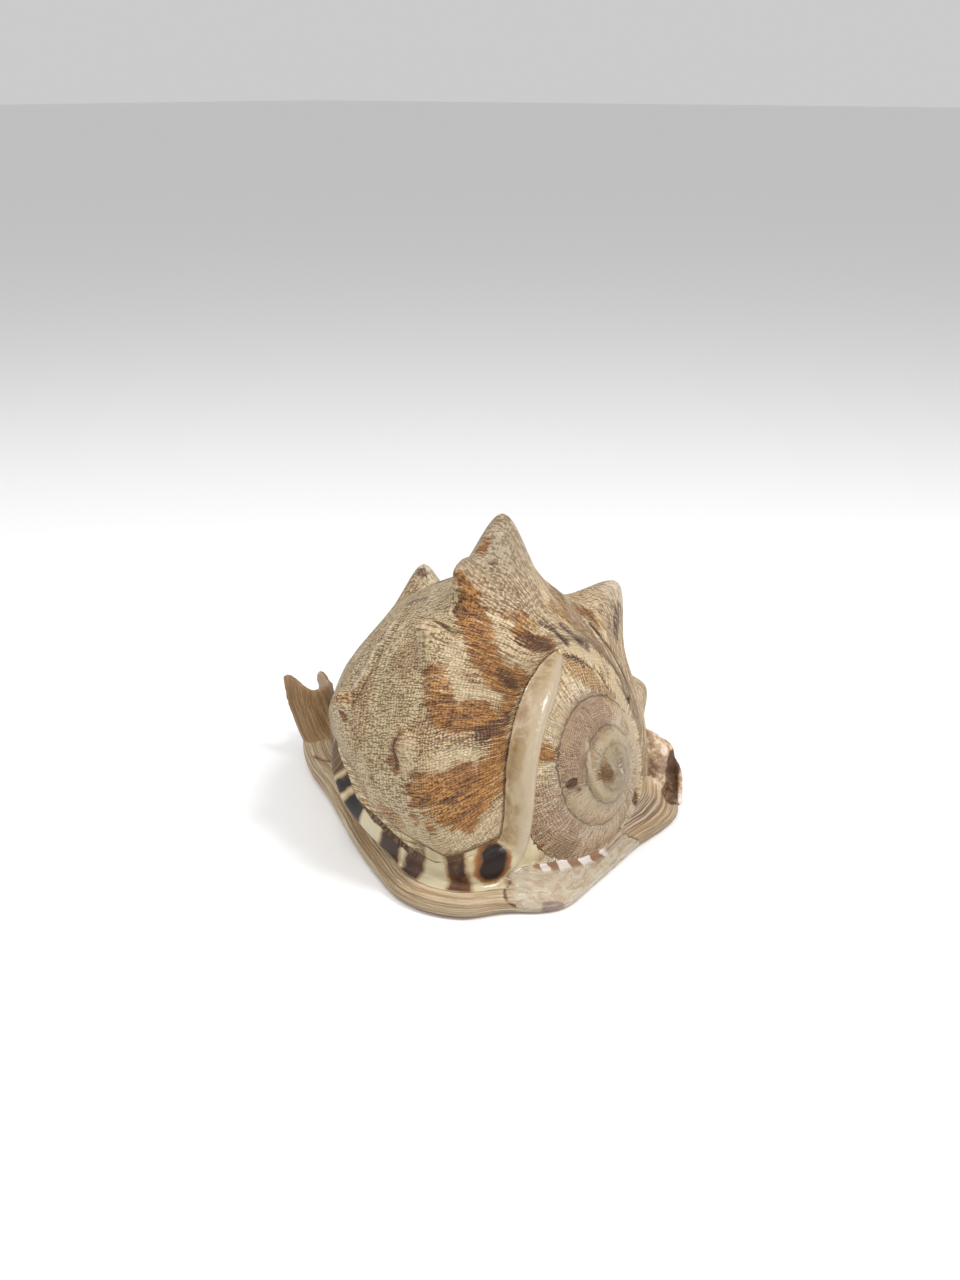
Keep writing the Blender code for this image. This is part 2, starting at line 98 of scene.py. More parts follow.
# and its suture climbs over the earlier whorl: place along the outline, change in radius, in depth
CLIMB_ANGLE = 388.0
CLIMB_SPAN = 40.0
CLIMB = (
    (0.0, -19.0, -11.8),
    (0.083, -12.5, -11.6),
    (0.167, -9.0, -9.5),
    (0.25, -2.5, -3.5),
    (0.333, 0.0, 0.0),
)
# The last whorl's edge along the suture stands this far above the earlier whorl
SUTURE_STEP = 1.2
# No part of the whorls goes lower than this. The shield closes them below
WHORL_FLOOR = 5.0

# Outline of one whorl at the reference angle, from the suture to the neck: radius, depth
WHORL_OUTLINE = (
    (55.7, 30.1),
    (63.0, 32.5),
    (78.0, 39.0),
    (89.0, 48.0),
    (93.0, 60.0),
    (91.5, 78.0),
    (87.0, 100.0),
    (78.5, 122.0),
    (65.5, 141.0),
    (49.5, 158.0),
    (33.0, 173.0),
    (22.0, 184.0),
    (13.0, 191.0),
)

# Horns, knobs and, with a height below 0, a dent:
# growth angle, place along the outline, height, radius of the base, lean to the apex
HORNS = (
    (294.0, 0.355, 5.5, 6.0, 0.0),
    (328.0, 0.325, 9.5, 6.5, 0.0),
    (344.0, 0.3, 14.0, 7.0, 0.05),
    (357.0, 0.28, 32.5, 15.0, 0.32),
    (411.0, 0.28, 25.5, 15.0, 0.15),
    (446.0, 0.28, 14.0, 11.5, 0.1),
    (308.0, 0.59, 5.0, 7.0, 0.0),
    (313.0, 0.74, 1.5, 7.0, 0.0),
    (343.0, 0.61, -3.0, 14.0, 0.0),
    (377.0, 0.605, 24.0, 12.5, 0.0),
    (408.0, 0.58, 8.0, 10.0, 0.0),
    (438.0, 0.58, 7.0, 10.0, 0.0),
    (353.0, 0.71, 1.0, 13.0, 0.0),
    (392.0, 0.77, 4.0, 8.0, 0.0),
    (425.0, 0.77, 4.0, 8.0, 0.0),
)
HORN_SHARPNESS = 1.9

# Route of the old lip over the earlier whorl: clock angle, radius, depth, half width, half height
OLD_LIP = (
    (362.0, 53.5, 28.5, 1.5, 1.6),
    (355.0, 51.5, 27.8, 4.0, 3.2),
    (345.0, 48.6, 26.6, 6.2, 4.4),
    (330.0, 46.4, 25.2, 7.8, 5.0),
    (305.0, 45.2, 24.3, 7.8, 5.2),
    (280.0, 46.8, 24.0, 7.2, 5.2),
    (262.0, 50.5, 25.3, 6.6, 5.2),
    (251.0, 57.0, 28.8, 7.2, 5.4),
    (249.0, 66.0, 33.0, 8.0, 5.4),
    (250.5, 76.0, 42.0, 8.0, 4.6),
    (252.0, 78.5, 57.0, 7.2, 3.6),
    (257.3, 77.5, 73.0, 6.8, 3.0),
    (263.7, 75.0, 88.0, 6.8, 2.8),
    (270.4, 70.5, 102.5, 6.6, 2.8),
    (279.0, 69.0, 110.5, 6.2, 2.6),
    (287.0, 65.0, 118.0, 6.0, 2.6),
    (294.0, 57.0, 129.0, 4.0, 2.4),
)
# The outer lip's end beside the spire, and its thin rolled edge, on the same terms
LIP_END = (
    (95.0, 62.0, 33.0, 5.0, 4.0),
    (100.0, 68.0, 32.0, 8.0, 6.0),
    (106.0, 72.0, 33.0, 9.0, 7.0),
    (113.0, 76.0, 34.0, 9.5, 7.0),
    (121.0, 80.0, 34.0, 9.5, 6.0),
)
LIP_ROLL = (
    (97.0, 69.0, 38.0, 2.2, 2.0),
    (99.5, 73.0, 31.5, 3.0, 2.2),
    (102.0, 74.5, 26.5, 3.0, 2.2),
    (106.0, 76.0, 24.0, 3.0, 2.2),
    (112.0, 78.5, 23.0, 3.0, 2.2),
    (118.0, 80.0, 23.0, 3.0, 2.2),
    (123.0, 79.0, 22.0, 3.0, 2.2),
)

# Rim of the shield and the outer lip near the ground:
# x, y, height of the rim's middle, half thickness of the rim, height where it meets the whorls
SHIELD_RIM = (
    (-3.0, 20.0, 3.5, 2.0, 9.0),
    (-3.0, 42.0, 3.5, 2.0, 12.0),
    (-6.0, 58.0, 4.0, 2.5, 16.0),
    (-17.0, 74.0, 5.0, 3.5, 20.0),
    (-34.0, 87.0, 9.0, 7.0, 22.0),
    (-60.0, 94.0, 11.0, 9.0, 22.0),
    (-90.0, 91.0, 11.0, 9.0, 22.0),
    (-120.0, 78.0, 10.0, 8.0, 22.0),
    (-150.0, 58.0, 10.0, 7.0, 22.0),
    (-180.0, 32.0, 11.0, 6.0, 20.0),
    (-200.0, 16.0, 12.0, 5.0, 18.0),
    (-208.0, 3.0, 11.0, 4.0, 18.0),
    (-200.0, -10.0, 9.0, 4.0, 18.0),
    (-180.0, -25.0, 7.0, 4.0, 15.0),
    (-155.0, -38.5, 6.3, 4.0, 14.0),
    (-130.0, -54.0, 5.8, 3.8, 14.0),
    (-105.0, -69.5, 5.4, 3.6, 14.0),
    (-80.0, -82.5, 5.0, 3.4, 14.0),
    (-60.0, -91.0, 4.8, 3.2, 14.0),
    (-42.0, -92.0, 4.8, 3.2, 14.0),
    (-25.0, -85.0, 4.8, 3.2, 14.0),
    (-14.0, -70.0, 4.4, 2.8, 14.0),
    (-1.5, -59.0, 3.6, 1.9, 13.0),
    (4.0, -47.0, 3.4, 1.8, 11.0),
    (2.0, -24.0, 3.4, 1.8, 8.0),
    (-0.5, -2.0, 3.4, 1.8, 7.0),
)
SHIELD_CENTRE = (-88.0, 4.0)
# Swellings of the underside that carry the shell: middle, half length, half width
CONTACTS = (
    (-66.0, -40.0, 62.0, 34.0),
    (-72.0, 62.0, 60.0, 26.0),
    (-168.0, -12.0, 26.0, 16.0),
    (-26.0, 2.0, 18.0, 40.0),
)
CONTACT_LOW = 0.3
CONTACT_CURVE = 1.4
UNDERSIDE_HEIGHT = 3.4
# The swellings are worn flat at this height
CONTACT_HEIGHT = 1.0

# The upturned canal: route of the middle of its back wall, its half width
CANAL = (
    (-148.0, 2.0, 18.0, 12.0),
    (-168.0, 2.0, 17.0, 13.0),
    (-184.0, 2.0, 21.0, 13.0),
    (-192.0, 3.0, 31.0, 13.2),
    (-195.0, 3.0, 40.5, 13.2),
)
CANAL_WALL = 3.6
CANAL_THINNING = 0.3
CANAL_SWEEP = 108.0
# How far its two edges stand above the notch in its end, and over what part of the sweep
CANAL_LOBES = ((-11.0, 25.0, 60.0), (6.0, 60.0, 30.0))
CANAL_CORNER = 2.5

# The aperture: x, y, half width and height of the slit between the shield and the outer lip
APERTURE = (
    (-24.0, 34.0, 2.5, 22.0),
    (-40.0, 28.0, 5.0, 26.0),
    (-66.0, 22.0, 7.0, 30.0),
    (-100.0, 17.0, 8.0, 32.0),
    (-132.0, 11.0, 8.0, 26.0),
    (-156.0, 6.0, 7.0, 15.0),
    (-175.0, 3.0, 6.5, 12.0),
    (-192.0, 3.0, 6.5, 15.0),
    (-218.0, 3.0, 7.5, 22.0),
)
# Height and relative width of the slit's rings, below its top
APERTURE_FLARE = ((-4.0, 1.35), (0.0, 1.2), (5.0, 1.0), (9.0, 0.9))
TEETH = 7
TOOTH_LENGTH = 3.0
TEETH_FIRST = 0.10
TEETH_SPAN = 0.70

# The room inside the last whorl
WALL = 5.2
INNER_WALL = 2.0
HOLLOW_FIRST_ANGLE = 20.0
HOLLOW_TAPER_SPAN = 40.0
HOLLOW_FLOOR = 11.5
HOLLOW_OUTER = (0.14, 0.77)
HOLLOW_INNER = (0.42, 0.80)
# The room above the outer lip: centre and radii
LIP_ROOM = (-84.0, 43.0, 26.0)
LIP_ROOM_RADII = (48.0, 29.0, 14.0)

# How many rows and columns of points each form has
SPIRE_GRID = (560, 110)
LAST_WHORL_GRID = (380, 240)
OLD_LIP_GRID = (300, 48)
LIP_END_GRID = (90, 48)
LIP_ROLL_GRID = (120, 28)
SHIELD_COLUMNS = 520
CANAL_GRID = (60, 90)
HOLLOW_GRID = (240, 70)
SLIT_COLUMNS = 400


def growth(angle):
    """Size of the spiral at a growth angle, against its size at the reference angle."""
    return GROWTH_PER_TURN ** ((angle - REFERENCE_ANGLE) / 360.0)


def between(a, b, c, d, f):
    """Catmull-Rom blend from b to c."""
    return 0.5 * (2 * b + (c - a) * f + (2 * a - 5 * b + 4 * c - d) * f**2 + (3 * b - a - 3 * c + d) * f**3)


def smooth_curve(points, t):
    """Points at t, from 0 to 1, on a smooth curve through the given rows."""
    rows = np.asarray(points, float)
    last = len(rows) - 1
    x = np.clip(np.asarray(t, float), 0.0, 1.0) * last
    i = np.minimum(x.astype(int), last - 1)
    f = (x - i)[..., None]
    return between(rows[np.maximum(i - 1, 0)], rows[i], rows[i + 1], rows[np.minimum(i + 2, last)], f)


def smooth_loop(points, t):
    """The same on a closed loop, t from 0 to 1 all round."""
    rows = np.asarray(points, float)
    count = len(rows)
    x = (np.asarray(t, float) % 1.0) * count
    i = x.astype(int) % count
    f = (x - np.floor(x))[..., None]
    return between(rows[(i - 1) % count], rows[i], rows[(i + 1) % count], rows[(i + 2) % count], f)


def ease(x):
    x = np.clip(x, 0.0, 1.0)
    return x * x * (3.0 - 2.0 * x)


def unit(vectors):
    return vectors / np.linalg.norm(vectors, axis=-1)[..., None]


def wander(x, seed):
    """A smooth irregular wave from -1 to 1 with about one bend for each unit of x."""
    beads = np.random.default_rng(seed).uniform(-1.0, 1.0, 997)
    low = np.floor(x).astype(int)
    f = ease(x - low)
    return beads[low % 997] * (1.0 - f) + beads[(low + 1) % 997] * f


def wander_flat(x, y, seed):
    """The same over a plane."""
    beads = np.random.default_rng(seed).uniform(-1.0, 1.0, (97, 89))
    i = np.floor(x).astype(int)
    j = np.floor(y).astype(int)
    fx = ease(x - i)
    fy = ease(y - j)
    near = beads[i % 97, j % 89] * (1.0 - fx) + beads[(i + 1) % 97, j % 89] * fx
    far = beads[i % 97, (j + 1) % 89] * (1.0 - fx) + beads[(i + 1) % 97, (j + 1) % 89] * fx
    return near * (1.0 - fy) + far * fy


def place(clock, radius, depth):
    """Position in millimetres, with the origin on the ground below the apex."""
    c = np.radians(clock)
    tilt = math.radians(AXIS_TILT)
    side = radius * np.sin(c)
    rise = radius * np.cos(c)
    x = -depth * math.cos(tilt) - rise * math.sin(tilt)
    z = APEX_HEIGHT - depth * math.sin(tilt) + rise * math.cos(tilt)
    return np.stack(np.broadcast_arrays(x, side, z), axis=-1)


def whorl_surface(angle, t, inset=0.0):
    """A point of the whorl's smooth outside at a growth angle and a place along its outline."""
    outline = smooth_curve(WHORL_OUTLINE, t)
    late = np.maximum(angle - LATE_ANGLE, 0.0)
    early = growth(np.minimum(angle, LATE_ANGLE))
    neck = ease((t - 0.25) / 0.55)
    scale = early * GROWTH_PER_TURN ** (late / 360.0 * (1.0 - 0.85 * neck))
    loss = 1.0 - LATE_SHOULDER_LOSS * ease(late / LATE_SPAN) * ease(t / 0.15)
    climb = smooth_curve(CLIMB, t / CLIMB[-1][0]) * ease((angle - CLIMB_ANGLE) / CLIMB_SPAN)[..., None]
    radius = outline[..., 0] * scale * loss + climb[..., 1] - inset
    return place(angle, radius, outline[..., 1] * scale + climb[..., 2])


def growth_line(angle, t):
    """The growth angle of the line of growth through a point: on the ramp the lines run aslant."""
    slant = 14.0 + 36.0 * ease((angle - 320.0) / 90.0)
    return angle - slant * np.clip(1.0 - t / 0.28, 0.0, 1.0) ** 1.3


def growth_ridges(angle, t):
    """Height of the fine ridges of growth, strongest on the ramp."""
    line = growth_line(angle, t)
    ramp = 1.0 - ease((t - 0.16) / 0.14)
    coarse = wander(line / 2.6, 1) + 0.6 * wander(line / 1.5, 2)
    folds = wander_flat(line / 9.0, t * 9.0, 3)
    return 0.7 * coarse * (0.1 + 0.9 * ramp) + 0.7 * folds * (0.45 + 0.55 * ramp)


def horn_offsets(points):
    """How far the horns push each point of the last whorl, and which way."""
    offset = np.zeros_like(points)
    for angle, t, height, radius, lean in HORNS:
        foot = whorl_surface(np.array(angle), np.array(t))
        out = unit(place(angle, 1.0, -lean) - place(0.0, 0.0, 0.0))
        distance = np.linalg.norm(points - foot, axis=-1)
        lift = height * np.exp(-((distance / radius) ** HORN_SHARPNESS))
        offset += lift[..., None] * out
    return offset


def last_whorl_grid(turns, steps):
    """Growth angle, place along the outline and position of a grid of points on the last whorl."""
    a, t = np.meshgrid(np.linspace(0.0, 1.0, turns), np.linspace(0.0, 1.0, steps), indexing="ij")
    start = np.interp(t, *np.array(NEW_GROWTH_START).T)
    a = start + (LAST_ANGLE - start) * a
    since = (a - start) / NEW_GROWTH_SPAN
    bulge = NEW_GROWTH_BULGE * np.sqrt(np.clip(since, 0.0, 1.0)) * (1.0 - 0.6 * ease((since - 1.0) / 3.0))
    edge = SUTURE_STEP * ease((a - 345.0) / 25.0) * (1.0 - ease(t / 0.3))
    bulge = bulge * ease((t - 0.05) / 0.2) + edge - COVERED_INSET * (since <= 0.0)
    smooth = whorl_surface(a, t, -bulge)
    points = whorl_surface(a, t, -bulge - growth_ridges(a, t) * ease(since))
    return a, t, points + horn_offsets(smooth)


def spire_grid(turns, steps):
    """The same for the earlier whorls, up to the old lip."""
    angles = np.linspace(FIRST_ANGLE, SPIRE_END_ANGLE, turns)
    a, t = np.meshgrid(angles, np.linspace(0.0, 1.0, steps), indexing="ij")
    size = growth(a)
    ridges = 0.4 * wander(a / 2.4, 5) + 0.8 * wander_flat(a / 14.0, t * 12.0, 6)
    ridges += 1.3 * wander_flat(a / 6.0, t * 16.0, 7) * (1.0 - ease(t / 0.22))
    under = COVERED_INSET * ease((a - np.interp(t, *np.array(NEW_GROWTH_START).T)) / 3.0)
    return a, t, whorl_surface(a, t, under - ridges * np.minimum(size * 1.4, 1.0))


def closed_sweep(grid):
    """Closes each section of a whorl along the coiling axis, down to the floor of the whorls."""
    origin = place(0.0, 0.0, 0.0)
    axis = origin - place(0.0, 0.0, 1.0)
    ends = [origin + ((grid[:, k] - origin) @ axis)[:, None] * axis for k in (0, -1)]
    ring = np.concatenate([ends[0][:, None], grid, ends[1][:, None]], axis=1)
    ring[..., 2] = np.maximum(ring[..., 2], WHORL_FLOOR)
    return ring


def band_rings(route, steps, sides):
    """Rings of a rounded band that lies on the whorl along a route."""
    rows = smooth_curve(route, np.linspace(0.0, 1.0, steps))
    centre = place(rows[:, 0], rows[:, 1], rows[:, 2])
    axis = place(rows[:, 0], 0.0 * rows[:, 1], rows[:, 2] + 0.35 * rows[:, 1])
    along = unit(np.gradient(centre, axis=0))
    out = centre - axis
    out = unit(out - (out * along).sum(axis=1)[:, None] * along)
    across = np.cross(along, out)
    turn = np.linspace(0.0, 2 * math.pi, sides, endpoint=False)
    wide = np.sign(np.cos(turn)) * np.abs(np.cos(turn)) ** 0.8
    high = np.sign(np.sin(turn)) * np.abs(np.sin(turn)) ** 0.8
    return (
        centre[:, None]
        + rows[:, 3][:, None, None] * wide[None, :, None] * across[:, None]
        + rows[:, 4][:, None, None] * high[None, :, None] * out[:, None]
    )


def rough_band(rings):
    """The same band with a broken, lumpy skin."""
    middle = rings.mean(axis=1, keepdims=True)
    i, j = np.meshgrid(np.arange(rings.shape[0]), np.arange(rings.shape[1]), indexing="ij")
    lumps = 0.16 * wander_flat(i / 14.0, j / 5.0, 31) + 0.08 * wander_flat(i / 5.0, j / 2.5, 32)
    return middle + (rings - middle) * (1.0 + lumps)[..., None]


def underside(flat):
    """Height of the underside, which touches the ground on a few worn swellings."""
    height = np.full(len(flat), UNDERSIDE_HEIGHT)
    for x, y, along, across in CONTACTS:
        reach = ((flat[:, 0] - x) / along) ** 2 + ((flat[:, 1] - y) / across) ** 2
        height = np.minimum(height, CONTACT_LOW + CONTACT_CURVE * reach)
    return np.maximum(height, CONTACT_HEIGHT)


def shield_rings(around):
    """Rings of the broad base, from the middle of its underside round the rim to the whorls."""
    u = np.linspace(0.0, 1.0, around, endpoint=False)
    rim = smooth_loop(SHIELD_RIM, u)
    height = rim[:, 2]
    thick = rim[:, 3]
    centre = np.array(SHIELD_CENTRE)
    spread = rim[:, :2] - centre
    out = unit(spread)
    reach = np.linalg.norm(spread, axis=1)
    rings = []
    for q in np.concatenate([[0.02, 0.1, 0.2, 0.3, 0.4, 0.5, 0.6], np.linspace(0.65, 0.97, 17)]):
        flat = centre + q * spread
        bottom = underside(flat)
        edge = np.clip((q - 0.6) / 0.4, 0.0, 1.0) ** 2
        rings.append(np.column_stack([flat, bottom + (height - thick - bottom) * edge]))
    for turn in np.linspace(-math.pi / 2, math.pi / 2, 25):
        leaf = 1.0 + 0.05 * np.cos(turn) * wander(7.0 * turn + 2.0 * wander(u * 24.0, 11), 12)
        flat = rim[:, :2] - thick[:, None] * (1.0 - math.cos(turn) * leaf)[:, None] * out
        rings.append(np.column_stack([flat, height + thick * math.sin(turn)]))
    for inward in np.concatenate([np.arange(1.0, 26.0, 0.7), [30.0, 45.0, 70.0]]):
        inward = inward + thick
        q = np.maximum(1.0 - inward / reach, 0.02)
        flat = centre + q[:, None] * spread
        rise = np.clip((0.96 - q) / 0.16, 0.0, 1.0)
        leaf = 0.45 * wander(inward / 2.1 + 0.8 * wander(u * 17.0, 13), 14) * ease(inward / 6.0 - 0.5)
        rings.append(np.column_stack([flat, height + thick + (rim[:, 4] - height - thick) * rise + leaf]))
    return np.array(rings)


def canal_lobe(sweep):
    """How far the gutter's end stands above its notch at an angle round it."""
    height = 0.0
    for lobe, start, span in CANAL_LOBES:
        turned = math.degrees(sweep) * math.copysign(1.0, lobe)
        height = max(height, abs(lobe) * float(ease((turned - start) / span)))
    past = (abs(math.degrees(sweep)) - 92.0) / (CANAL_SWEEP - 92.0)
    return height - CANAL_CORNER * max(past, 0.0) ** 2


def canal_rings():
    """A gutter that turns up, open to the front, with a notch in the end of its back wall."""
    rows = smooth_curve(CANAL, np.linspace(0.0, 1.0, CANAL_GRID[0]))
    centre = rows[:, :3]
    along = unit(np.gradient(centre, axis=0))
    side = np.array([0.0, 1.0, 0.0])
    front = np.cross(side, along)
    front *= -np.sign(front[-1, 0])
    sweep = np.radians(np.linspace(-CANAL_SWEEP, CANAL_SWEEP, CANAL_GRID[1]))
    rings = []
    for i, row in enumerate(rows):
        end = ease((i / (len(rows) - 1) - 0.35) / 0.65)
        wall = CANAL_WALL * (1.0 - CANAL_THINNING * end)
        ring = []
        for radius, course in ((row[3], sweep), (row[3] - wall, sweep[::-1])):
            for p in course:
                rib = 0.35 * math.sin(p * 24.0 + 0.6 * math.sin(i * 0.3)) * (radius == row[3])
                spot = centre[i] + front[i] * (row[3] - (radius + rib) * math.cos(p))
                ring.append(spot + side * (radius + rib) * math.sin(p) + along[i] * end * canal_lobe(p))
        rings.append(ring)
    rings = np.array(rings)
    rings[..., 2] = np.maximum(rings[..., 2], CONTACT_HEIGHT)
    return rings


def slit_rings():
    """A cutter with the toothed outline of the aperture, from below the base up into the hollow."""
    along = np.linspace(0.0, 1.0, SLIT_COLUMNS)
    rows = smooth_curve(APERTURE, along)
    middle = rows[:, :2]
    half = rows[:, 2]
    course = unit(np.gradient(middle, axis=0))
    side = np.column_stack([course[:, 1], -course[:, 0]])
    toothed = ease((along - TEETH_FIRST + 0.02) / 0.08)
    toothed *= ease((TEETH_FIRST + TEETH_SPAN - 0.02 - along) / 0.08)
    wave = np.sin(TEETH * 2 * math.pi * (along - TEETH_FIRST) / TEETH_SPAN)
    tooth = TOOTH_LENGTH * toothed * np.maximum(wave, 0.0)
    fold = 0.7 * toothed * np.maximum(wander(along * 60.0, 21), 0.0)
    lip_side = middle + (half - tooth)[:, None] * side
    shield_side = middle - (half - fold)[:, None] * side
    outline = np.concatenate([lip_side, shield_side[::-1]])
    centre = np.concatenate([middle, middle[::-1]])
    top = np.concatenate([rows[:, 3], rows[::-1, 3]])
    rings = []
    for z, spread in APERTURE_FLARE:
        flat = centre + spread * (outline - centre)
        rings.append(np.column_stack([flat, np.full(len(flat), z)]))
    rings.append(np.column_stack([flat, top]))
    return np.array(rings)


def hollow_rings():
    """A cutter with the shape of the room inside the last whorl."""
    turns, steps = HOLLOW_GRID
    angles = np.linspace(HOLLOW_FIRST_ANGLE, LAST_ANGLE, turns)
    a, u = np.meshgrid(angles, np.linspace(0.0, 1.0, steps), indexing="ij")
    t = np.interp(u, (0.0, 1.0), HOLLOW_OUTER)
    forward = place(0.0, 0.0, 1.0) - place(0.0, 0.0, 0.0)
    deeper = WALL * (1.0 - ease((t - 0.2) / 0.2))
    outer = whorl_surface(a, t, WALL) + deeper[..., None] * forward
    inner = whorl_surface(a - 360.0, np.interp(u, (0.0, 1.0), HOLLOW_INNER), -INNER_WALL)
    middle = 0.5 * (outer + inner)
    narrow = 0.8 * (1.0 - ease((a - HOLLOW_FIRST_ANGLE) / HOLLOW_TAPER_SPAN))[..., None]
    outer = outer + (middle - outer) * narrow
    inner = inner + (middle - inner) * narrow
    rings = np.concatenate([outer, inner[:, ::-1]], axis=1)
    rings[..., 2] = np.maximum(rings[..., 2], HOLLOW_FLOOR)
    return rings


SEAMED = ("canal", "slit", "hollow")


def deselect():
    if bpy.context.object and bpy.context.object.mode != "OBJECT":
        bpy.ops.object.mode_set(mode="OBJECT")
    bpy.ops.object.select_all(action="DESELECT")


def use(obj):
    deselect()
    obj.select_set(True)
    bpy.context.view_layer.objects.active = obj


def sleeve(name, rings):
    """A closed skin through rings of points: a grid primitive rolled up, with each end drawn together.
    The ends of a gutter, a slit or a hollow close along a seam between their two sides."""
    ends = [np.repeat(rings[k].mean(axis=0)[None, None], rings.shape[1], axis=1) for k in (0, -1)]
    if name in SEAMED:
        ends = [0.5 * (rings[k] + rings[k, ::-1])[None] for k in (0, -1)]
    sheet = np.concatenate([ends[0], rings, ends[1]], axis=0)
    sheet = np.concatenate([sheet, sheet[:, :1]], axis=1)
    rows, columns = sheet.shape[:2]
    deselect()
    bpy.ops.mesh.primitive_grid_add(x_subdivisions=columns - 1, y_subdivisions=rows - 1, size=1.0)
    obj = bpy.context.object
    obj.name = name
    if len(obj.data.vertices) != rows * columns:
        raise RuntimeError("the grid for " + name + " has another number of points")
    place_in_part = (sheet.reshape(-1, 3) + SET_DOWN) * MM
    obj.data.vertices.foreach_set("co", place_in_part.astype(np.float32).ravel())
    bpy.ops.object.mode_set(mode="EDIT")
    bpy.ops.mesh.select_all(action="SELECT")
    bpy.ops.mesh.remove_doubles(threshold=1e-7)
    bpy.ops.mesh.normals_make_consistent(inside=False)
    bpy.ops.object.mode_set(mode="OBJECT")
    return obj


def apply_modifier(obj, kind, **settings):
    use(obj)
    modifier = obj.modifiers.new(kind.title(), kind)
    for key, value in settings.items():
        setattr(modifier, key, value)
    bpy.ops.object.modifier_apply(modifier=modifier.name)


def keep_largest_skin(obj):
    """Drops every closed skin but the largest, such as one round a bubble inside."""
    count = len(obj.data.vertices)
    edges = np.empty(len(obj.data.edges) * 2, np.int32)
    obj.data.edges.foreach_get("vertices", edges)
    edges = edges.reshape(-1, 2)
    label = np.arange(count)
    while True:
        low = np.minimum(label[edges[:, 0]], label[edges[:, 1]])
        new = label.copy()
        np.minimum.at(new, edges[:, 0], low)
        np.minimum.at(new, edges[:, 1], low)
        new = new[new]
        new = new[new]
        if (new == label).all():
            break
        label = new
    names, sizes = np.unique(label, return_counts=True)
    if len(names) == 1:
        return
    loose = label != names[sizes.argmax()]
    use(obj)
    obj.data.vertices.foreach_set("select", loose)
    bpy.ops.object.mode_set(mode="EDIT")
    bpy.ops.mesh.select_mode(type="VERT")
    bpy.ops.object.mode_set(mode="OBJECT")
    obj.data.vertices.foreach_set("select", loose)
    bpy.ops.object.mode_set(mode="EDIT")
    bpy.ops.mesh.delete(type="VERT")
    bpy.ops.object.mode_set(mode="OBJECT")


def fused(objects, name, voxel):
    """One closed skin round all the objects."""
    deselect()
    for obj in objects:
        obj.select_set(True)
    bpy.context.view_layer.objects.active = objects[0]
    if len(objects) > 1:
        bpy.ops.object.join()
    objects[0].name = name
    apply_modifier(objects[0], "REMESH", mode="VOXEL", voxel_size=voxel)
    keep_largest_skin(objects[0])
    return objects[0]


def mesh_points(obj):
    """The object's points in millimetres, in the frame of the coiling axis."""
    flat = np.empty(len(obj.data.vertices) * 3, np.float32)
    obj.data.vertices.foreach_get("co", flat)
    return flat.reshape(-1, 3).astype(float) / MM - SET_DOWN


def triangles(obj):
    return sum(len(face.vertices) - 2 for face in obj.data.polygons)


class Surface:
    """Finds the nearest point of a grid of points, and what the grid's own coordinates are there."""

    def __init__(self, points, closed=False):
        if closed:
            points = np.concatenate([points, points[:, :1]], axis=1)
        self.points = points
        rows, columns = points.shape[:2]
        i, j = np.meshgrid(np.arange(rows - 1), np.arange(columns - 1), indexing="ij")
        first = (i * columns + j).ravel()
        faces = np.column_stack([first, first + 1, first + columns + 1, first + columns])
        self.columns = columns
        self.tree = BVHTree.FromPolygons(points.reshape(-1, 3).tolist(), faces.tolist())

    def near(self, queries, reach=1e9):
        """Distance, row and column of the grid's nearest point to each query."""
        count = len(queries)
        hits = np.zeros((count, 3))
        cell = np.zeros(count, int)
        distance = np.full(count, reach)
        find = self.tree.find_nearest
        for k, query in enumerate(queries.tolist()):
            spot, _, index, far = find(query, reach)
            if index is not None:
                hits[k] = spot
                cell[k] = index
                distance[k] = far
        row, column = np.divmod(cell, self.columns - 1)
        corner = self.points[row, column]
        down = self.points[row + 1, column] - corner
        right = self.points[row, column + 1] - corner
        step = hits - corner
        u = np.clip((step * down).sum(axis=1) / np.maximum((down * down).sum(axis=1), 1e-12), 0.0, 1.0)
        v = np.clip((step * right).sum(axis=1) / np.maximum((right * right).sum(axis=1), 1e-12), 0.0, 1.0)
        return distance, row + u, column + v


def grid_value(values, row, column):
    """A grid's value at fractional rows and columns."""
    i = np.minimum(row.astype(int), values.shape[0] - 2)
    j = np.minimum(column.astype(int), values.shape[1] - 2)
    u = row - i
    v = column - j
    top = values[i, j] * (1 - v) + values[i, j + 1] * v
    low = values[i + 1, j] * (1 - v) + values[i + 1, j + 1] * v
    return top * (1 - u) + low * u


def add_values(obj, name, values):
    """Stores one number for each point of the mesh."""
    layer = obj.data.attributes.new(name, "FLOAT", "POINT")
    layer.data.foreach_set("value", np.asarray(values, np.float32))


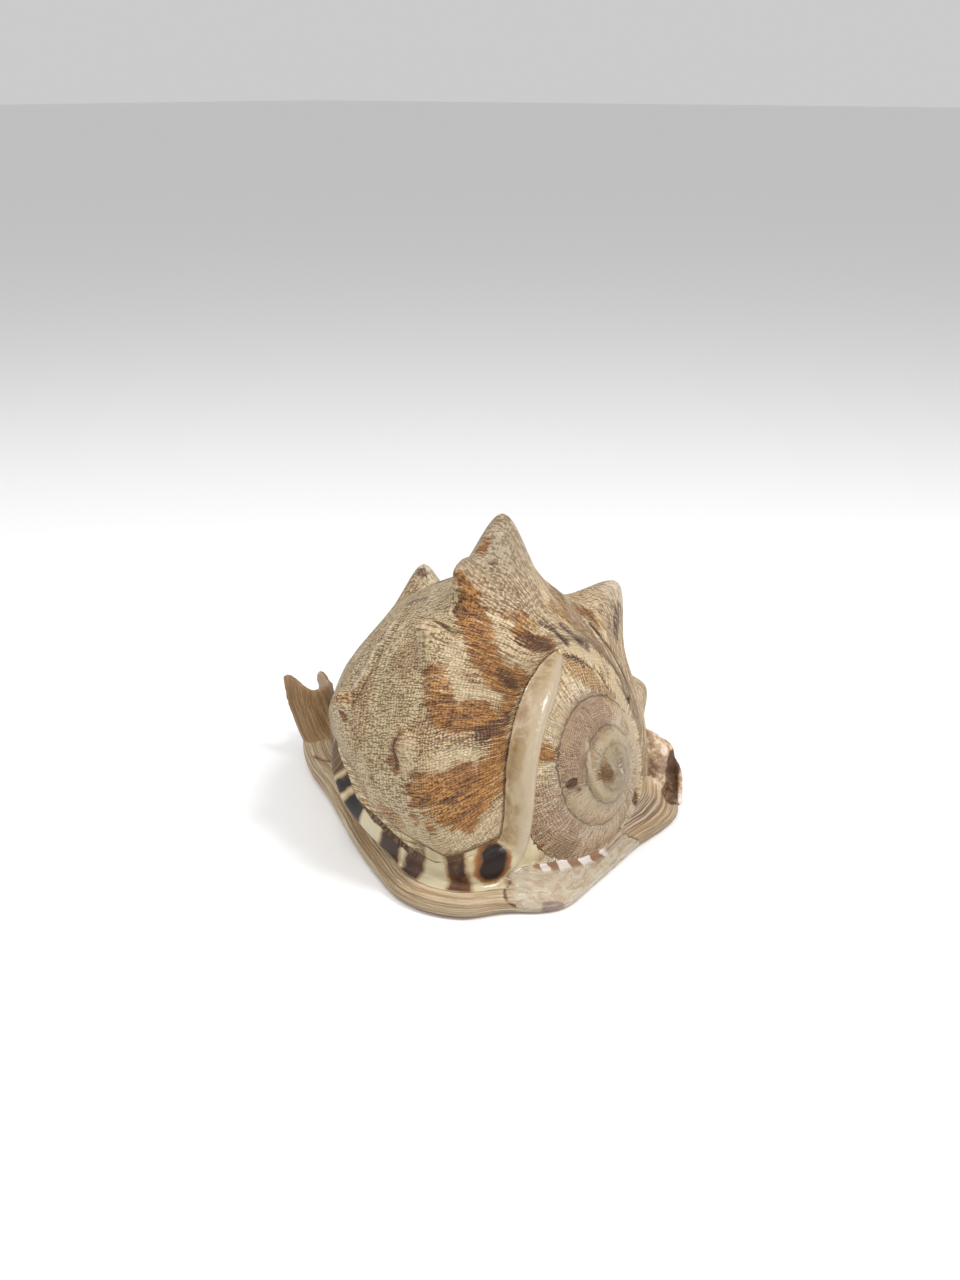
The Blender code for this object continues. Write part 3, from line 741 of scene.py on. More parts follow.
# Strokes of colour, in millimetres over the whorls: reach, strength and the points that a stroke passes
STROKES = {
    "rust": (
        (2.6, 0.6, ((-70, -16, 149), (-70, -18, 146))),
        (3.5, 0.9, ((-70, -31, 134), (-65, -31, 128), (-67, -35, 122))),
        (6.5, 1.0, ((-61, -34, 118), (-55, -37, 111), (-50, -39, 104), (-44, -36, 97))),
        (4.0, 0.95, ((-49, -17, 110), (-46, -11, 106), (-43, -2, 102))),
        (4.5, 0.9, ((-46, -42, 97), (-43, -36, 94), (-41, -27, 94))),
        (5.5, 1.0, ((-47, -64, 84), (-42, -53, 84), (-37, -50, 77))),
        (5.5, 0.8, ((-61, -61, 100), (-56, -65, 93), (-51, -68, 85))),
        (3.0, 0.85, ((-40, -33, 90), (-37, -43, 81), (-34, -50, 69))),
        (8.0, 0.95, ((-49, -83, 55), (-42, -79, 55), (-38, -75, 51))),
        (7.0, 1.0, ((-38, -70, 59), (-33, -65, 51), (-33, -58, 58))),
        (5.0, 0.9, ((-41, -80, 47), (-36, -75, 44), (-34, -72, 42))),
        (4.0, 0.9, ((-34, -50, 68), (-33, -53, 62), (-31, -55, 55))),
        (2.2, 0.7, ((-45, -83, 38), (-46, -84, 42))),
        (2.2, 0.6, ((-55, -85, 44), (-53, -85, 40))),
        (4.5, 1.0, ((-21, -37, 66), (-20, -31, 64))),
        (3.5, 0.6, ((-57, 42, 104), (-54, 52, 98), (-51, 51, 95))),
        (3.0, 0.6, ((-5, -9, 52), (-3, -6, 48))),
        (3.0, 0.4, ((-8, 2, 59), (-4, 2, 50))),
        (2.5, 0.45, ((-6, -12, 49), (-5, -10, 49))),
        (3.5, 0.55, ((-54, -20, 118), (-51, -11, 115))),
        (3.0, 0.7, ((-20, -41, 21), (-19, -39, 16))),
        (5.0, 0.5, ((-67, -82, 75), (-67, -83, 65))),
        (1.8, 0.9, ((-119, -62, 75), (-116, -65, 72), (-110, -68, 68))),
        (3.0, 0.5, ((-66, -59, 104), (-64, -62, 98), (-60, -68, 90))),
    ),
    "dark": (
        (2.5, 0.4, ((-64, -19, 140), (-60, -17, 135))),
        (2.5, 0.6, ((-111, -21, 112), (-101, -23, 116))),
        (2.5, 0.9, ((-142, 22, 111), (-106, -2, 120))),
        (2.8, 0.9, ((-48, -18, 108), (-43, -3, 102))),
        (2.5, 0.7, ((-45, -35, 97), (-41, -32, 92))),
        (3.6, 0.95, ((-39, -56, 76), (-38, -52, 77), (-37, -49, 77))),
        (2.2, 0.8, ((-37, -40, 81), (-36, -48, 75))),
        (2.0, 0.8, ((-38, 7, 95), (-34, 12, 91))),
        (2.0, 0.7, ((-50, -84, 52), (-39, -76, 51))),
        (2.5, 0.7, ((-48, 61, 88), (-55, 73, 98))),
        (0.9, 0.5, ((-14, -26, 47), (-12, -22, 49))),
    ),
    # Painted shade: dark plum lines laid in the crevices between the ramp's ridges
    "crevice_shade": (
        (1.3, 1.0, ((-49, -2, 112), (-46, 6, 106), (-42, 12, 98))),
        (1.7, 1.0, ((-47, 13, 106), (-43, 20, 99), (-41, 27, 92))),
        (1.2, 0.8, ((-35, 29, 86), (-30, 29, 80))),
        (1.4, 0.8, ((-30, 35, 76), (-26, 41, 65))),
    ),
    "mauve": (
        (5.0, 0.7, ((-52, 28, 106), (-48, 37, 95), (-39, 36, 87))),
        (9.0, 0.9, ((-20, 6, 74), (-19, -7, 72), (-17, -16, 66), (-14, -23, 54))),
        (9.0, 0.8, ((-18, -38, 44), (-16, -37, 34), (-13, -27, 23))),
        (5.0, 0.5, ((-48, -72, 78), (-54, -72, 84))),
        (4.0, 0.7, ((-38, 57, 71), (-24, 42, 58))),
    ),
    "cream": (
        (3.5, 0.95, ((-50, -59, 93), (-46, -50, 93), (-41, -40, 90))),
        (4.0, 0.95, ((-72, -54, 116), (-69, -56, 110))),
        (2.0, 0.9, ((-74, -53, 118), (-68, -52, 118))),
        (2.6, 0.9, ((-45, -29, 100), (-42, -22, 98))),
        (3.2, 0.85, ((-58, -29, 118), (-55, -31, 114), (-51, -27, 111))),
        (3.5, 0.8, ((-60, -50, 109), (-55, -55, 101), (-51, -58, 94))),
        (5.0, 0.7, ((-48, -79, 67), (-42, -71, 68), (-38, -64, 65))),
        (9.0, 0.9, ((-54, -84, 35), (-36, -76, 31), (-28, -60, 38))),
        (5.0, 0.85, ((-62, -83, 74), (-61, -83, 65))),
        (1.5, 0.9, ((-49, 6, 112), (-46, 12, 105), (-43, 17, 98))),
        (2.0, 0.9, ((-48, -6, 110), (-43, 3, 102), (-42, 7, 98))),
        (
            3.2,
            0.95,
            ((-40, 13, 95), (-36, 28, 87), (-31, 32, 80), (-25, 33, 66), (-15, 29, 51), (-18, 38, 26)),
        ),
        (2.6, 0.9, ((-40, 27, 91), (-33, 33, 82), (-28, 39, 70))),
        (5.0, 0.8, ((-9, 0, 61), (-7, 7, 57))),
        (5.0, 0.8, ((-24, -15, 75), (-21, -21, 68))),
        (2.4, 1.0, ((-13, -12, 64), (-11, -14, 60), (-9, -16, 54), (-7, -15, 46), (-5, -11, 40))),
        (5.0, 0.6, ((-91, -79, 54), (-78, -82, 42))),
        (4.5, 0.7, ((-10, -22, 39), (-6, -12, 35), (-3, -5, 42))),
    ),
    "grey": (
        (12.0, 0.9, ((-64, -12, 152), (-59, -13, 140), (-54, -10, 124))),
        (4.0, 0.6, ((-62, -54, 108), (-58, -54, 104))),
        (5.0, 0.8, ((-56, 65, 101), (-48, 57, 89))),
        (4.0, 0.7, ((-43, -68, 74), (-39, -61, 71))),
    ),
    "gold": (
        (3.0, 0.8, ((-71, -31, 138), (-72, -32, 132))),
        (4.0, 0.8, ((-34, -57, 63), (-33, -60, 56), (-33, -68, 48))),
        (5.0, 0.9, ((-35, 5, 92), (-29, 12, 84), (-25, 21, 73))),
        (2.6, 0.9, ((-52, 12, 115), (-49, 27, 102), (-43, 41, 88))),
        (4.0, 1.0, ((-117, -64, 74), (-112, -64, 78))),
        (3.5, 0.8, ((-51, -11, 115), (-48, -7, 110))),
        (3.0, 0.5, ((-6, -11, 50), (-4, -9, 49))),
        (4.0, 0.5, ((-75, -82, 39), (-65, -83, 37))),
    ),
    "amber": (
        (1.4, 0.5, ((-29, -43, 71), (-29, -45, 68))),
        (2.0, 0.6, ((-32, -33, 83), (-33, -36, 80))),
    ),
    "black": (
        (5.8, 1.0, ((-24, -65, 26), (-24, -67, 19))),
    ),
    "purple": (
        (3.2, 1.0, ((2, -54, 4), (0, -57, 3))),
    ),
    "band": (
        (5.0, 1.0, ((-18, -38, 13), (-15, -27, 11), (-13, -19, 10), (-11, -5, 9))),
    ),
}

# Small ridges and, with a height below 0, cracks of the skin, on the same terms: reach, height, route
RELIEF = (
    (
        2.0,
        2.2,
        (
            (-115, -65, 73),
            (-113, -64, 75),
            (-110, -62, 81),
            (-109, -60, 85),
            (-108, -56, 91),
            (-109, -48, 97),
            (-105, -45, 102),
            (-108, -36, 108),
        ),
    ),
    (1.6, -0.9, ((-108, -65, 76), (-106, -62, 82), (-104, -59, 87), (-104, -56, 92), (-104, -50, 97))),
    (1.5, 0.8, ((-116, -66, 70), (-111, -69, 67), (-101, -74, 64), (-94, -77, 61))),
    (1.5, -0.8, ((-111, -67, 69), (-102, -72, 66), (-94, -76, 63))),
    (2.2, 2.2, ((-82, -47, 112), (-72, -54, 117), (-66, -50, 115), (-60, -47, 111))),
    (6.0, 3.4, ((-72, -54, 115), (-69, -56, 108))),
    (2.6, -1.8, ((-84, -44, 113), (-74, -50, 121), (-69, -48, 120), (-62, -45, 116))),
    (4.2, 3.0, ((-71, -31, 137), (-70, -32, 132))),
    (4.2, 3.4, ((-118, -63, 75), (-113, -66, 74))),
    (5.0, 2.4, ((-68, -54, 111), (-60, -62, 99), (-54, -70, 87))),
    (2.2, -1.0, ((-67, -82, 75), (-65, -83, 63))),
    (2.4, 1.0, ((-62, -82, 75), (-61, -83, 65))),
    (1.2, -0.8, ((-183, -19, 11), (-175, -21, 12), (-169, -21, 13))),
    (0.9, -1.1, ((-22, -58, 15), (-21, -58, 10), (-20, -64, 8), (-15, -68, 6), (-11, -66, 5))),
    (1.2, 0.8, ((-15, -62, 8), (-14, -59, 8), (-10, -61, 7), (-10, -66, 6))),
    (1.8, 1.3, ((-13, -12, 64), (-11, -14, 60), (-9, -16, 54), (-7, -15, 46), (-5, -11, 40))),
    (2.0, -1.6, ((-13, -25, 48), (-12, -23, 49))),
    (1.6, -1.3, ((-10, -23, 46), (-10, -22, 45))),
    (3.5, -3.0, ((-19, 73, 25), (-19, 72, 16), (-18, 69, 10), (-14, 62, 5))),
    (3.0, -1.5, ((-17, 34, 19), (-18, 38, 15))),
    (1.3, -1.0, ((-49, -2, 112), (-46, 6, 106), (-42, 12, 98))),
    (1.5, -1.0, ((-47, 13, 106), (-43, 20, 99), (-41, 27, 92))),
    (1.3, 0.9, ((-49, 6, 112), (-46, 12, 105), (-43, 17, 98))),
    (1.4, -1.1, ((-52, 44, 97), (-43, 50, 84), (-36, 51, 73), (-26, 40, 64))),
    (1.3, -0.9, ((-33, 21, 87), (-27, 24, 76))),
    (1.4, 0.9, ((-52, 12, 115), (-49, 27, 102), (-43, 41, 88))),
    (1.4, 1.0, ((-40, 13, 95), (-36, 28, 87), (-31, 32, 80), (-25, 33, 66), (-15, 29, 51))),
    (1.2, -0.8, ((-39, 8, 95), (-35, 12, 92), (-32, 18, 86))),
)

# Only relief up to this width gets the colour of a crest or, in a crack, painted shade
NARROW_RELIEF = 4.0
# Beyond this many millimetres a form's own distance no longer counts in its marks
FAR_OFF = 8.0


def route_distance(points, route):
    """Distance of each point from a route of straight runs."""
    route = np.array(route, float)
    far = np.full(len(points), 1e9)
    for k in range(max(len(route) - 1, 1)):
        start = route[k]
        run = route[min(k + 1, len(route) - 1)] - start
        length = max(float(run @ run), 1e-9)
        part = np.clip((points - start) @ run / length, 0.0, 1.0)
        far = np.minimum(far, np.linalg.norm(points - start - part[:, None] * run, axis=1))
    return far


def stroke_cover(points, strokes):
    """How strongly the strokes cover each point, from 0 to 1, soft at their edges."""
    cover = np.zeros(len(points))
    for reach, strength, route in strokes:
        cover = np.maximum(cover, strength * ease(1.4 - 0.8 * route_distance(points, route) / reach))
    return cover


def relief(points, widest=1e9):
    """Height of the small ridges and cracks at each point, or only of those up to a width."""
    height = np.zeros(len(points))
    for reach, lift, route in RELIEF:
        if reach <= widest:
            height += lift * np.exp(-((route_distance(points, route) / reach) ** 2))
    return height


class ShellSizes(bpy.types.PropertyGroup):
    fineness: bpy.props.FloatProperty(
        name="Fineness",
        description="Size of the cells that the skin is made of",
        default=0.0011,
        unit="LENGTH",
    )
    face_limit: bpy.props.IntProperty(
        name="Faces", description="Most triangles in the skin", default=194000
    )
    edge_rounding: bpy.props.FloatProperty(
        name="Edge rounding",
        description="Width of the worn band along the aperture's edge",
        default=0.0016,
        unit="LENGTH",
    )


class ShellColours(bpy.types.PropertyGroup):
    body: bpy.props.FloatVectorProperty(
        name="Body", description="Beige of the back", subtype="COLOR", default=(0.30, 0.19, 0.086)
    )
    cream: bpy.props.FloatVectorProperty(
        name="Cream",
        description="Cream of the low body and the bands",
        subtype="COLOR",
        default=(0.42, 0.32, 0.172),
    )
    rust: bpy.props.FloatVectorProperty(
        name="Rust", description="Rust brown of the blotches", subtype="COLOR", default=(0.21, 0.082, 0.018)
    )
    ivory: bpy.props.FloatVectorProperty(
        name="Ivory", description="Ivory of the old lip", subtype="COLOR", default=(0.40, 0.31, 0.185)
    )
    peach: bpy.props.FloatVectorProperty(
        name="Peach",
        description="Peach of the shield's underside",
        subtype="COLOR",
        default=(0.68, 0.40, 0.22),
    )


def whorl_pieces():
    """The overlapping forms of the outside, as rings of points."""
    return {
        "spire": closed_sweep(spire_grid(*SPIRE_GRID)[2]),
        "last_whorl": closed_sweep(last_whorl_grid(*LAST_WHORL_GRID)[2]),
        "old_lip": band_rings(OLD_LIP, *OLD_LIP_GRID),
        "lip_end": rough_band(band_rings(LIP_END, *LIP_END_GRID)),
        "lip_roll": band_rings(LIP_ROLL, *LIP_ROLL_GRID),
        "shield": shield_rings(SHIELD_COLUMNS),
        "canal": canal_rings(),
    }


def lip_room():
    """A cutter for the room between the outer lip and the slit."""
    deselect()
    bpy.ops.mesh.primitive_uv_sphere_add(segments=64, ring_count=32, radius=1.0, location=(0.0, 0.0, 0.0))
    room = bpy.context.object
    points = np.array([vertex.co for vertex in room.data.vertices]) * LIP_ROOM_RADII + LIP_ROOM
    room.data.vertices.foreach_set("co", ((points + SET_DOWN) * MM).astype(np.float32).ravel())
    return room


def search_tree(obj):
    """Finds the object's nearest point, in millimetres."""
    return BVHTree.FromPolygons(mesh_points(obj).tolist(), [face.vertices[:] for face in obj.data.polygons])


def distances(tree, points):
    find = tree.find_nearest
    return np.array([find(p)[3] for p in points.tolist()])


class BuildShell(bpy.types.Operator):
    """Grow the whorls, lips, shield and canal, join them in one skin and open its room"""

    bl_idname = "shell.build"
    bl_label = "Shell"

    def execute(self, context):
        sizes = context.scene.shell_sizes
        forms = [sleeve(name, rings) for name, rings in whorl_pieces().items()]
        skin = fused(forms, "shell_skin", sizes.fineness)
        cutters = [sleeve("slit", slit_rings()), sleeve("hollow", hollow_rings()), lip_room()]
        room = fused(cutters, "room", sizes.fineness)
        outside = search_tree(skin)
        inside = search_tree(room)
        apply_modifier(skin, "BOOLEAN", operation="DIFFERENCE", object=room, solver="MANIFOLD")
        keep_largest_skin(skin)
        count = triangles(skin)
        if count > sizes.face_limit:
            apply_modifier(skin, "DECIMATE", ratio=sizes.face_limit / count, use_collapse_triangulate=True)
        bpy.data.objects.remove(room)
        points = mesh_points(skin)
        to_room = distances(inside, points)
        to_outside = distances(outside, points)
        reach = sizes.edge_rounding / MM
        edge = (to_room < reach) & (to_outside < reach)
        use(skin)
        bpy.ops.object.mode_set(mode="EDIT")
        bpy.ops.mesh.select_mode(type="VERT")
        bpy.ops.mesh.select_all(action="DESELECT")
        bpy.ops.object.mode_set(mode="OBJECT")
        skin.data.vertices.foreach_set("select", edge)
        bpy.ops.object.mode_set(mode="EDIT")
        bpy.ops.mesh.vertices_smooth(factor=0.5, repeat=6)
        bpy.ops.object.mode_set(mode="OBJECT")
        points = mesh_points(skin)
        normals = np.empty(len(points) * 3, np.float32)
        skin.data.vertex_normals.foreach_get("vector", normals)
        points += relief(points)[:, None] * normals.reshape(-1, 3)
        points[:, 2] = np.maximum(points[:, 2], CONTACT_HEIGHT)
        skin.data.vertices.foreach_set("co", ((points + SET_DOWN) * MM).astype(np.float32).ravel())
        add_values(skin, "room_distance", to_room)
        bpy.ops.object.shade_smooth()
        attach(skin, "root")
        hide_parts("shell")
        return {"FINISHED"}


class MarkShell(bpy.types.Operator):
    """Work out each point's form, its place in the growth and its strokes of colour"""

    bl_idname = "shell.mark"
    bl_label = "Markings"

    def execute(self, context):
        skin = bpy.data.objects["shell_skin"]
        points = mesh_points(skin)
        marks = {}
        a, t, grid = last_whorl_grid(*LAST_WHORL_GRID)
        far_last, row, column = Surface(grid).near(points)
        angle = grid_value(a, row, column)
        along = grid_value(t, row, column)
        marks["growth_angle"] = angle
        marks["outline_place"] = along
        marks["growth_line"] = growth_line(angle, along)
        lift = np.linalg.norm(horn_offsets(whorl_surface(a, t)), axis=-1)
        marks["horn"] = grid_value(lift, row, column)
        marks["start_angle"] = angle - np.interp(along, *np.array(NEW_GROWTH_START).T)
        a, t, grid = spire_grid(*SPIRE_GRID)
        far_spire, row, column = Surface(grid).near(points)
        marks["spire_angle"] = grid_value(a, row, column)
        marks["spire_place"] = grid_value(t, row, column)
        far_lip, row, column = Surface(band_rings(OLD_LIP, *OLD_LIP_GRID), closed=True).near(points)
        marks["lip_along"] = row / (OLD_LIP_GRID[0] - 1.0)
        marks["lip_across"] = np.cos(column / OLD_LIP_GRID[1] * 2 * math.pi)
        far_shield, row, column = Surface(shield_rings(SHIELD_COLUMNS), closed=True).near(points)
        marks["rim_row"] = row
        marks["rim_along"] = column / SHIELD_COLUMNS
        far_canal, row, column = Surface(canal_rings(), closed=True).near(points)
        marks["canal_along"] = row / (CANAL_GRID[0] - 1.0)
        marks["canal_round"] = column / (2.0 * CANAL_GRID[1])
        far_lump = np.minimum(
            Surface(rough_band(band_rings(LIP_END, *LIP_END_GRID)), closed=True).near(points)[0],
            Surface(band_rings(LIP_ROLL, *LIP_ROLL_GRID), closed=True).near(points)[0],
        )
        far_room = np.empty(len(points), np.float32)
        skin.data.attributes["room_distance"].data.foreach_get("value", far_room)
        far = {
            "last_whorl": far_last,
            "spire": far_spire,
            "old_lip": far_lip,
            "shield": far_shield,
            "canal": far_canal,
            "lip_end": far_lump,
            "room": far_room,
        }
        for name, own in far.items():
            if name == "last_whorl":
                continue
            others = np.min([value for other, value in far.items() if other != name], axis=0)
            marks["on_" + name] = np.clip(others - own, -FAR_OFF, FAR_OFF)
        marks["relief"] = relief(points, NARROW_RELIEF)
        for name, strokes in STROKES.items():
            marks[name] = stroke_cover(points, strokes)
        for name, values in marks.items():
            add_values(skin, name, values)
        return {"FINISHED"}


class Value:
    """A number in a material, with Python's arithmetic."""

    def __init__(self, tree, socket):
        self.tree = tree
        self.socket = socket

    def math(self, operation, first, second=None):
        inputs = {0: first} if second is None else {0: first, 1: second}
        node = add_node(self.tree, "ShaderNodeMath", {"operation": operation}, inputs)
        return Value(self.tree, node.outputs[0])

    def __add__(self, other):
        return self.math("ADD", self, other)

    def __radd__(self, other):
        return self.math("ADD", other, self)

    def __sub__(self, other):
        return self.math("SUBTRACT", self, other)

    def __rsub__(self, other):
        return self.math("SUBTRACT", other, self)

    def __mul__(self, other):
        return self.math("MULTIPLY", self, other)

    def __rmul__(self, other):
        return self.math("MULTIPLY", other, self)

    def __neg__(self):
        return self.math("MULTIPLY", self, -1.0)

    def wave(self):
        return self.math("SINE", self)

    def above(self, other):
        return self.math("MAXIMUM", self, other)

    def below(self, other):
        return self.math("MINIMUM", self, other)


def add_node(tree, kind, settings, inputs):
    """Adds a node: its settings first, then the values or links of its sockets."""
    node = tree.nodes.new(kind)
    for name, value in settings.items():
        setattr(node, name, value)
    for key, value in inputs.items():
        if isinstance(value, Value):
            tree.links.new(value.socket, node.inputs[key])
        elif isinstance(value, bpy.types.NodeSocket):
            tree.links.new(value, node.inputs[key])
        else:
            node.inputs[key].default_value = value
    return node


class Paints:
    """The steps that the shell's material is built of."""

    def __init__(self, tree):
        self.tree = tree

    def attribute(self, name):
        node = add_node(self.tree, "ShaderNodeAttribute", {"attribute_name": name}, {})
        return Value(self.tree, node.outputs["Fac"])

    def step(self, value, low, high):
        """Rises smoothly from 0 at low to 1 at high."""
        settings = {"interpolation_type": "SMOOTHSTEP"}
        inputs = {"Value": value, "From Min": low, "From Max": high}
        return Value(self.tree, add_node(self.tree, "ShaderNodeMapRange", settings, inputs).outputs["Result"])

    def vector(self, x, y, z=0.0):
        return add_node(self.tree, "ShaderNodeCombineXYZ", {}, {"X": x, "Y": y, "Z": z}).outputs["Vector"]

    def noise(self, vector, scale=1.0, detail=2.0, roughness=0.5, distortion=0.0):
        inputs = {
            "Vector": vector,
            "Scale": scale,
            "Detail": detail,
            "Roughness": roughness,
            "Distortion": distortion,
        }
        return Value(self.tree, add_node(self.tree, "ShaderNodeTexNoise", {}, inputs).outputs[0])

    def crackle(self, vector):
        """Distance from the borders of irregular cells, one cell for each unit of the vector."""
        settings = {"feature": "DISTANCE_TO_EDGE"}
        node = add_node(self.tree, "ShaderNodeTexVoronoi", settings, {"Vector": vector, "Scale": 1.0})
        return Value(self.tree, node.outputs["Distance"])

    def mix(self, factor, first, second, blend="MIX"):
        settings = {"data_type": "RGBA", "blend_type": blend}
        inputs = {0: factor, 6: colour(first), 7: colour(second)}
        return add_node(self.tree, "ShaderNodeMix", settings, inputs).outputs[2]

    def wash(self, base, value, low, high, strength, tint):
        """The base with a tint over it that comes in as the value rises from low to high."""
        return self.mix(self.step(value, low, high) * strength, base, tint)

    def shade(self, value, low, high, first, second):
        """One tint that turns to another as the value rises from low to high."""
        return self.mix(self.step(value, low, high), first, second)

    def bump(self, height, distance):
        inputs = {"Height": height, "Distance": distance, "Strength": 1.0}
        return add_node(self.tree, "ShaderNodeBump", {}, inputs).outputs["Normal"]


def colour(value):
    """A colour as a socket takes it."""
    if isinstance(value, (bpy.types.NodeSocket, Value)):
        return value
    return (*tuple(value)[:3], 1.0)


# Bars across the old lip's lower run, as places along the lip, and how black each one is
LIP_BARS = (
    (0.556, 0.589, 0.35),
    (0.641, 0.677, 0.6),
    (0.692, 0.734, 0.85),
    (0.79, 0.84, 1.0),
    (0.856, 0.888, 1.0),
)


class Coat:
    """The colour, relief in millimetres and roughness of one of the shell's surfaces."""

    def __init__(self, base, height, rough):
        self.base = base
        self.height = height
        self.rough = rough

    def under(self, paints, factor, other):
        """This coat with another one over it where the factor is 1."""
        base = paints.mix(factor, self.base, other.base)
        height = self.height * (1.0 - factor) + other.height * factor
        rough = self.rough * (1.0 - factor) + other.rough * factor
        return Coat(base, height, rough)


class ShellPaints(Paints):
    """The coats of the shell's parts."""

    def __init__(self, tree, colours):
        super().__init__(tree)
        self.colours = colours
        spot = add_node(tree, "ShaderNodeTexCoord", {}, {}).outputs["Object"]
        self.broad = self.noise(spot, 55.0, 4.0, 0.6)
        self.mottle = self.noise(spot, 240.0, 3.0)
        self.grain = self.noise(spot, 1100.0, 2.0)
        self.spot = spot

    def zone(self, name, soft=0.3):
        return self.step(self.attribute("on_" + name) + (self.mottle - 0.5) * 0.8, -soft, soft)

    def mask(self, name, ragged):
        """Where the strokes of a kind lie, with ragged edges."""
        cover = self.attribute(name)
        return self.step(cover + ragged * self.step(cover, 0.0, 0.25), 0.12, 0.8)

    def whorls(self):
        """The last whorl and the spire: a woven net, streaks along the lines of growth and blotches."""
        colours = self.colours
        angle = self.attribute("growth_angle")
        line = self.attribute("growth_line")
        along = self.attribute("outline_place")
        start = self.attribute("start_angle")
        spire_angle = self.attribute("spire_angle")
        spire_along = self.attribute("spire_place")
        on_spire = self.step(self.attribute("on_spire"), -0.2, 0.2)
        off_spire = 1.0 - on_spire
        run = line * off_spire + (spire_angle * 0.8 + 400.0) * on_spire
        width = along * off_spire + spire_along * 0.7 * on_spire
        bands = self.noise(self.vector(run * 0.5, width * 8.0), 1.0, 3.0)
        streaks = self.noise(self.vector(run * 1.5, width * 15.0, 3.0), 1.0, 2.0)
        dashes = self.noise(self.vector(run * 2.4, width * 60.0, 5.0), 1.0, 2.0)
        lines = (run * 6.6 + self.mottle * 14.0 + streaks * 12.0).wave() * 0.5 + 0.5
        cords = (width * 640.0 + self.broad * 30.0 + streaks * 9.0).wave() * 0.5 + 0.5
        ragged = (self.broad - 0.5) * 1.4 + (bands - 0.5) * 2.0 + (streaks - 0.5) * 1.8

        base = self.mix(self.step(self.broad, 0.40, 0.60) * 0.85, colours.body, colours.cream)
        base = self.wash(base, bands, 0.50, 0.62, 0.6, (0.289, 0.189, 0.0929))
        base = self.wash(base, self.mottle, 0.5, 0.64, 0.35, (0.395, 0.299, 0.17))
        base = self.wash(base, -self.broad, -0.47, -0.38, 0.4, (0.304, 0.219, 0.109))
        fall = self.noise(self.vector(run * 0.045, width * 17.0, 15.0), 1.0, 2.0)
        base = self.wash(base, fall, 0.51, 0.62, 0.75, (0.31, 0.185, 0.0817))
        base = self.wash(base, -fall, -0.49, -0.40, 0.6, (0.47, 0.37, 0.224))
        low = self.step(along, 0.42, 0.6) * (1.0 - self.step(angle, 290.0, 310.0)) * off_spire
        base = self.mix(low * 0.5, base, colours.cream)

        sweep = self.noise(self.vector(line * 0.28, along * 2.6, 7.0), 1.0, 3.0, 0.55)
        thread = self.noise(self.vector(line * 0.9, along * 4.0, 8.0), 1.0, 2.0)
        wavering = along + (bands - 0.5) * 0.3 + (self.broad - 0.5) * 0.4
        ramp = (1.0 - self.step(wavering, 0.1, 0.34)) * self.step(line, 300.0, 318.0) * off_spire
        folds = self.shade(sweep, 0.44, 0.52, (0.593, 0.448, 0.272), (0.434, 0.287, 0.162))
        folds = self.wash(folds, sweep, 0.54, 0.60, 0.8, (0.356, 0.234, 0.144))
        folds = self.wash(folds, thread, 0.56, 0.64, 0.75, (0.237, 0.129, 0.0662))
        folds = self.wash(folds, -thread, -0.45, -0.38, 0.7, (0.653, 0.521, 0.338))
        base = self.mix(ramp * 0.85, base, folds)

        fringe = self.noise(self.vector(line * 0.85, along * 9.0, 9.0), 1.0, 2.0, 0.45)
        near = 1.0 - self.step(along + (bands - 0.5) * 0.25, 0.07, 0.25)
        comb = near * (1.0 - self.step(line, 322.0, 338.0)) * off_spire
        base = self.mix(comb * self.step(-fringe, -0.54, -0.46) * 0.9, base, (0.511, 0.392, 0.22))
        base = self.mix(comb * self.step(fringe, 0.46, 0.54), base, (0.272, 0.121, 0.0327))
        base = self.mix(comb * self.step(fringe, 0.54, 0.62) * 0.85, base, (0.111, 0.0431, 0.0138))

        whorl = self.spire(run, spire_angle, spire_along, bands, streaks)
        base = self.mix(on_spire * 0.96, base, whorl)

        horn = self.step(self.attribute("horn"), 3.0, 20.0) * off_spire
        pale = self.shade(self.broad, 0.44, 0.56, (0.30, 0.235, 0.165), (0.50, 0.425, 0.33))
        base = self.mix(horn * 0.75, base, pale)
        base = self.mix(self.mask("grey", ragged) * 0.6, base, (0.281, 0.206, 0.126))
        base = self.mix(self.mask("cream", ragged) * 0.9, base, (0.426, 0.326, 0.192))
        gold = self.shade(streaks, 0.42, 0.60, (0.38, 0.226, 0.0746), (0.243, 0.106, 0.0267))
        base = self.mix(self.mask("gold", ragged) * 0.9, base, gold)
        base = self.mix(self.mask("mauve", ragged) * 0.8, base, (0.266, 0.156, 0.0929))
        hidden = self.step(angle, 366.0, 384.0) * off_spire
        blots = self.noise(self.spot, 24.0, 3.0, 0.55) * 0.7 + bands * 0.3
        hidden_rust = self.step(blots, 0.51, 0.56) * hidden * 0.8
        rust = self.mask("rust", ragged).above(hidden_rust)
        tone = self.shade(streaks * 0.5 + self.broad * 0.5, 0.44, 0.58, (0.37, 0.166, 0.0387), colours.rust)
        tone = self.wash(tone, bands, 0.52, 0.62, 0.7, (0.1, 0.0342, 0.00946))
        base = self.mix(rust * 0.95, base, tone)
        base = self.mix(self.mask("dark", ragged) * 0.85, base, (0.0836, 0.0333, 0.016))
        # Painted shade in the ramp's crevices
        base = self.mix(self.mask("crevice_shade", ragged * 0.15) * 0.75, base, (0.129, 0.0765, 0.064))

